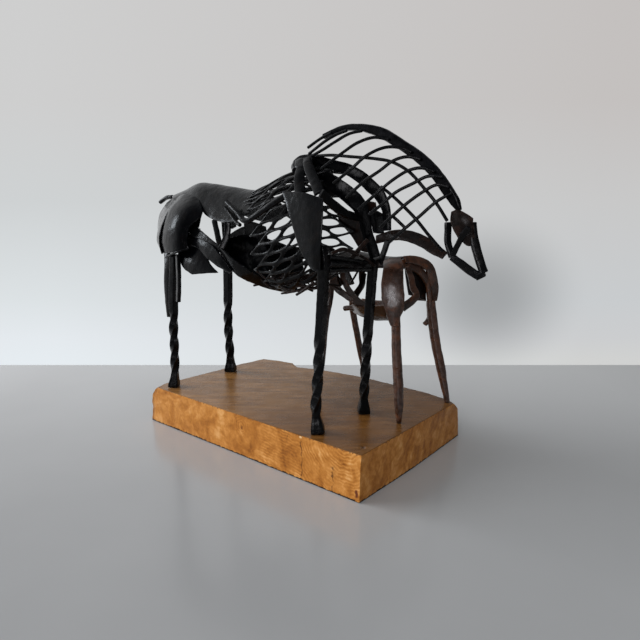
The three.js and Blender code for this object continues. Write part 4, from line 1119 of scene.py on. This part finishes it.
piece("foal_chest_band", BROWN, strap(
    [(-121, 124, 226), (-117, 125, 209), (-111, 128, 196), (-103, 131, 185), (-89, 133, 175),
     (-74, 132, 171)],
    [7, 7, 8, 10, 12, 12], (0.3, -1, 0), rough=0.35, seed=134))
piece("foal_breast_loop", BROWN, strap(
    [(-119, 166, 238), (-117, 165, 212), (-115, 163, 200), (-118, 160, 192), (-122, 157, 184),
     (-119, 158, 172)],
    8, (0.3, -1, 0), 4, rough=0.35, seed=136))
piece("foal_chest_wires", BROWN,
      rod([(-113, 150, 218), (-118, 150, 210), (-124, 150, 202)], 2.6, seed=142),
      strap([(-110, 160, 215), (-112, 158, 201), (-117, 152, 185)], 7, (0.2, -1, 0), rough=0.4, seed=143),
      strap([(-135, 168, 197), (-144, 160, 223), (-155, 150, 241), (-175, 145, 248)], 10, (-0.3, -1, 0.2),
            rough=0.4, seed=144), skin=UMBER)
piece("foal_neck_head", BROWN,
      strap([(-120, 122, 200), (-133, 121, 218), (-148, 126, 233), (-166, 130, 240), (-190, 130, 238)],
            [12, 15, 17, 17, 15], (-0.3, -1, 0.2), rough=0.4, seed=138),
      strap([(-190, 127, 204), (-172, 127, 208), (-156, 126, 215), (-142, 124, 224)], 12, (-0.2, -1, -0.2),
            rough=0.4, seed=139),
      plate([
          [(-240, 124, 222), (-216, 129, 236), (-188, 131, 246)],
          [(-243, 122, 208), (-214, 127, 216), (-187, 129, 226)],
          [(-234, 120, 194), (-208, 122, 192), (-184, 126, 203)],
      ], 3, dent=1.2, wobble=1.5, seed=140), skin=UMBER)


# The room: a pale glossy table top, soft lights, and a pale wall that is the world behind them

AZIMUTH = math.radians(39.106)
PITCH = math.radians(10.98)
CAMERA_MM = np.array([285.9, -417.6, 288.4])
SENSOR_MM = 36.0
FOCAL_MM = 30.375
WALL_AWAY = 1.023
TABLE_SIDE = 4.0
AHEAD = np.array([-math.sin(AZIMUTH), math.cos(AZIMUTH), 0.0])
LEFT = np.array([-math.cos(AZIMUTH), -math.sin(AZIMUTH), 0.0])
UP = np.array([0.0, 0.0, 1.0])
EYE = (CAMERA_MM + ORIGIN) * MM
# The table's painted light and shade at distances ahead, darker towards the camera, and how much it changes
# from its right side to its left, darker on the left
TABLE_PAINTED_LIGHT = [
    (-0.6, (0.25, 0.255, 0.26)), (-0.3, (0.27, 0.275, 0.28)), (-0.18, (0.285, 0.29, 0.295)),
    (-0.06, (0.31, 0.315, 0.32)), (0.12, (0.375, 0.38, 0.385)), (0.29, (0.42, 0.425, 0.43)),
]
TABLE_RIGHT, TABLE_LEFT = 1.2, 0.58
# The wall's painted light from low to high, at its left and its right, brightest low on the left, and the
# work's soft shadow painted on it
WALL_LEFT = [
    (0.05, (0.79, 0.84, 0.875)), (0.12, (0.78, 0.82, 0.855)), (0.24, (0.72, 0.76, 0.78)),
    (0.54, (0.62, 0.642, 0.65)), (0.83, (0.62, 0.62, 0.62)),
]
WALL_RIGHT = [
    (0.05, (0.63, 0.637, 0.63)), (0.12, (0.60, 0.61, 0.622)), (0.24, (0.58, 0.60, 0.615)),
    (0.54, (0.578, 0.578, 0.578)), (0.83, (0.552, 0.53, 0.52)),
]
WALL_BEHIND = (0.60, 0.60, 0.605)
SHADOW_MIDDLE = (0.31, -0.15)
SHADOW_REACH = (0.20, 0.17)
SHADOW_DEPTH = 0.40
# What lights the work and what its steel mirrors: bright towards the left, dim behind the camera
GLOW_WAY = LEFT * 0.72 + AHEAD * 0.5 - UP * 0.1
GLOW_DIM, GLOW_BRIGHT = 0.10, 1.15
DAYLIGHT = (0.97, 0.985, 1.0)
LIGHT_MIDDLE = Vector((0.0, 0.0, 0.18))


def table_paint():
    material, g = paint("table_top")
    low, high = TABLE_PAINTED_LIGHT[0][0], TABLE_PAINTED_LIGHT[-1][0]
    # The base colour paints the table's light and shade: lighter towards the wall, darker near the camera and
    # on the left
    share = g.range(g.towards(AHEAD), low, high)
    colour = g.ramp(share, [((where - low) / (high - low), tone) for where, tone in TABLE_PAINTED_LIGHT])
    sideways = g.range(g.towards(LEFT), -0.5, 0.5, TABLE_RIGHT, TABLE_LEFT)
    colour = g.vector("SCALE", colour, Scale=sideways)
    g.feed("Principled BSDF", {
        "Base Color": g.mix(g.range(g.noise(6, 3), 0.3, 0.7, 0.0, 0.05), colour, (0.5, 0.5, 0.5)),
        "Roughness": 0.21,
        "Specular IOR Level": 0.8,
    })
    return material


def table():
    """The table top, from the foot of the wall to behind the camera"""
    back = np.array([EYE[0], EYE[1], 0.0]) + AHEAD * WALL_AWAY
    front = back - AHEAD * TABLE_SIDE
    corners = [back + LEFT * TABLE_SIDE, back - LEFT * TABLE_SIDE,
               front - LEFT * TABLE_SIDE, front + LEFT * TABLE_SIDE]
    mesh = bpy.data.meshes.new("table")
    mesh.from_pydata([tuple(corner) for corner in corners], [], [(0, 1, 2, 3)])
    mesh.materials.append(table_paint())
    add("table", mesh)


def area_light(name, turn, rise, away, wide, high, watts, tone=DAYLIGHT, mirrored=True):
    """A soft light aimed at the middle of the work. Turn is counted from the camera to the left."""
    turn, rise = math.radians(turn), math.radians(rise)
    level = -AHEAD * math.cos(turn) + LEFT * math.sin(turn)
    way = Vector(level * math.cos(rise) + UP * math.sin(rise))
    data = bpy.data.lights.new(name, "AREA")
    data.shape = "RECTANGLE"
    data.size = wide
    data.size_y = high
    data.energy = watts
    data.color = tone
    made = add(name, data)
    made.location = LIGHT_MIDDLE + way * away
    made.rotation_euler = (-way).to_track_quat("-Z", "Y").to_euler()
    made.visible_glossy = mirrored


def wall_and_glow():
    """The world. The camera sees a far pale wall with painted light and the work's painted shadow, plain
    behind the camera, and the work sees a glow.
    """
    world = bpy.data.worlds.new("room")
    bpy.context.scene.world = world
    world.use_nodes = True
    g = Graph(world.node_tree, "Generated")
    forward = g.towards(AHEAD)
    ahead = g.math("MAXIMUM", forward, 0.05)
    aside = g.math("DIVIDE", g.towards(-LEFT), ahead)
    height = g.math("DIVIDE", g.towards(UP), ahead)
    share = g.range(height, -0.3, 0.3)
    wall = g.mix(g.range(aside, -0.5, 0.5), g.ramp(share, WALL_LEFT), g.ramp(share, WALL_RIGHT))
    # The work's soft shadow, painted on the wall
    off = [g.math("DIVIDE", g.math("SUBTRACT", value, middle), reach)
           for value, middle, reach in zip((aside, height), SHADOW_MIDDLE, SHADOW_REACH)]
    shadow = g.math("SQRT", g.plus(*(g.times(distance, distance) for distance in off)))
    wall = g.mix(g.range(shadow, 0.1, 1.0, SHADOW_DEPTH, 0.0, "SMOOTHSTEP"), wall, (0.0, 0.0, 0.0))
    wall = g.mix(g.range(forward, 0.1, 0.6, 0.0, 1.0, "SMOOTHSTEP"), WALL_BEHIND, wall)
    glow = g.range(g.towards(GLOW_WAY), 0.0, 1.0, GLOW_DIM, GLOW_BRIGHT, "SMOOTHSTEP")
    seen = g.node("ShaderNodeLightPath").outputs["Is Camera Ray"]
    g.feed("Background", {
        "Color": g.mix(seen, DAYLIGHT, wall),
        "Strength": g.plus(seen, g.times(g.rest(seen), glow)),
    })


def photo_camera():
    lens = bpy.data.cameras.new("camera")
    lens.sensor_fit = "HORIZONTAL"
    lens.sensor_width = SENSOR_MM
    lens.lens = FOCAL_MM
    lens.clip_end = 50.0
    camera = add("camera", lens)
    camera.location = EYE
    look = Vector(AHEAD * math.cos(PITCH) - UP * math.sin(PITCH))
    camera.rotation_euler = look.to_track_quat("-Z", "Y").to_euler()
    bpy.context.scene.camera = camera


table()
area_light("window", 108, 17, 2.4, 0.4, 0.6, 9, (0.86, 0.93, 1.0))
area_light("daylight", 100, 22, 2.4, 1.9, 1.6, 72, mirrored=False)
area_light("lamp", 20, 17, 2.2, 0.45, 0.8, 11, (0.97, 0.96, 1.0))
area_light("ceiling", 0, 60, 2.3, 2.4, 2.4, 36, (1.0, 0.995, 0.985), mirrored=False)
wall_and_glow()
photo_camera()
bpy.context.scene.view_settings.view_transform = "Standard"
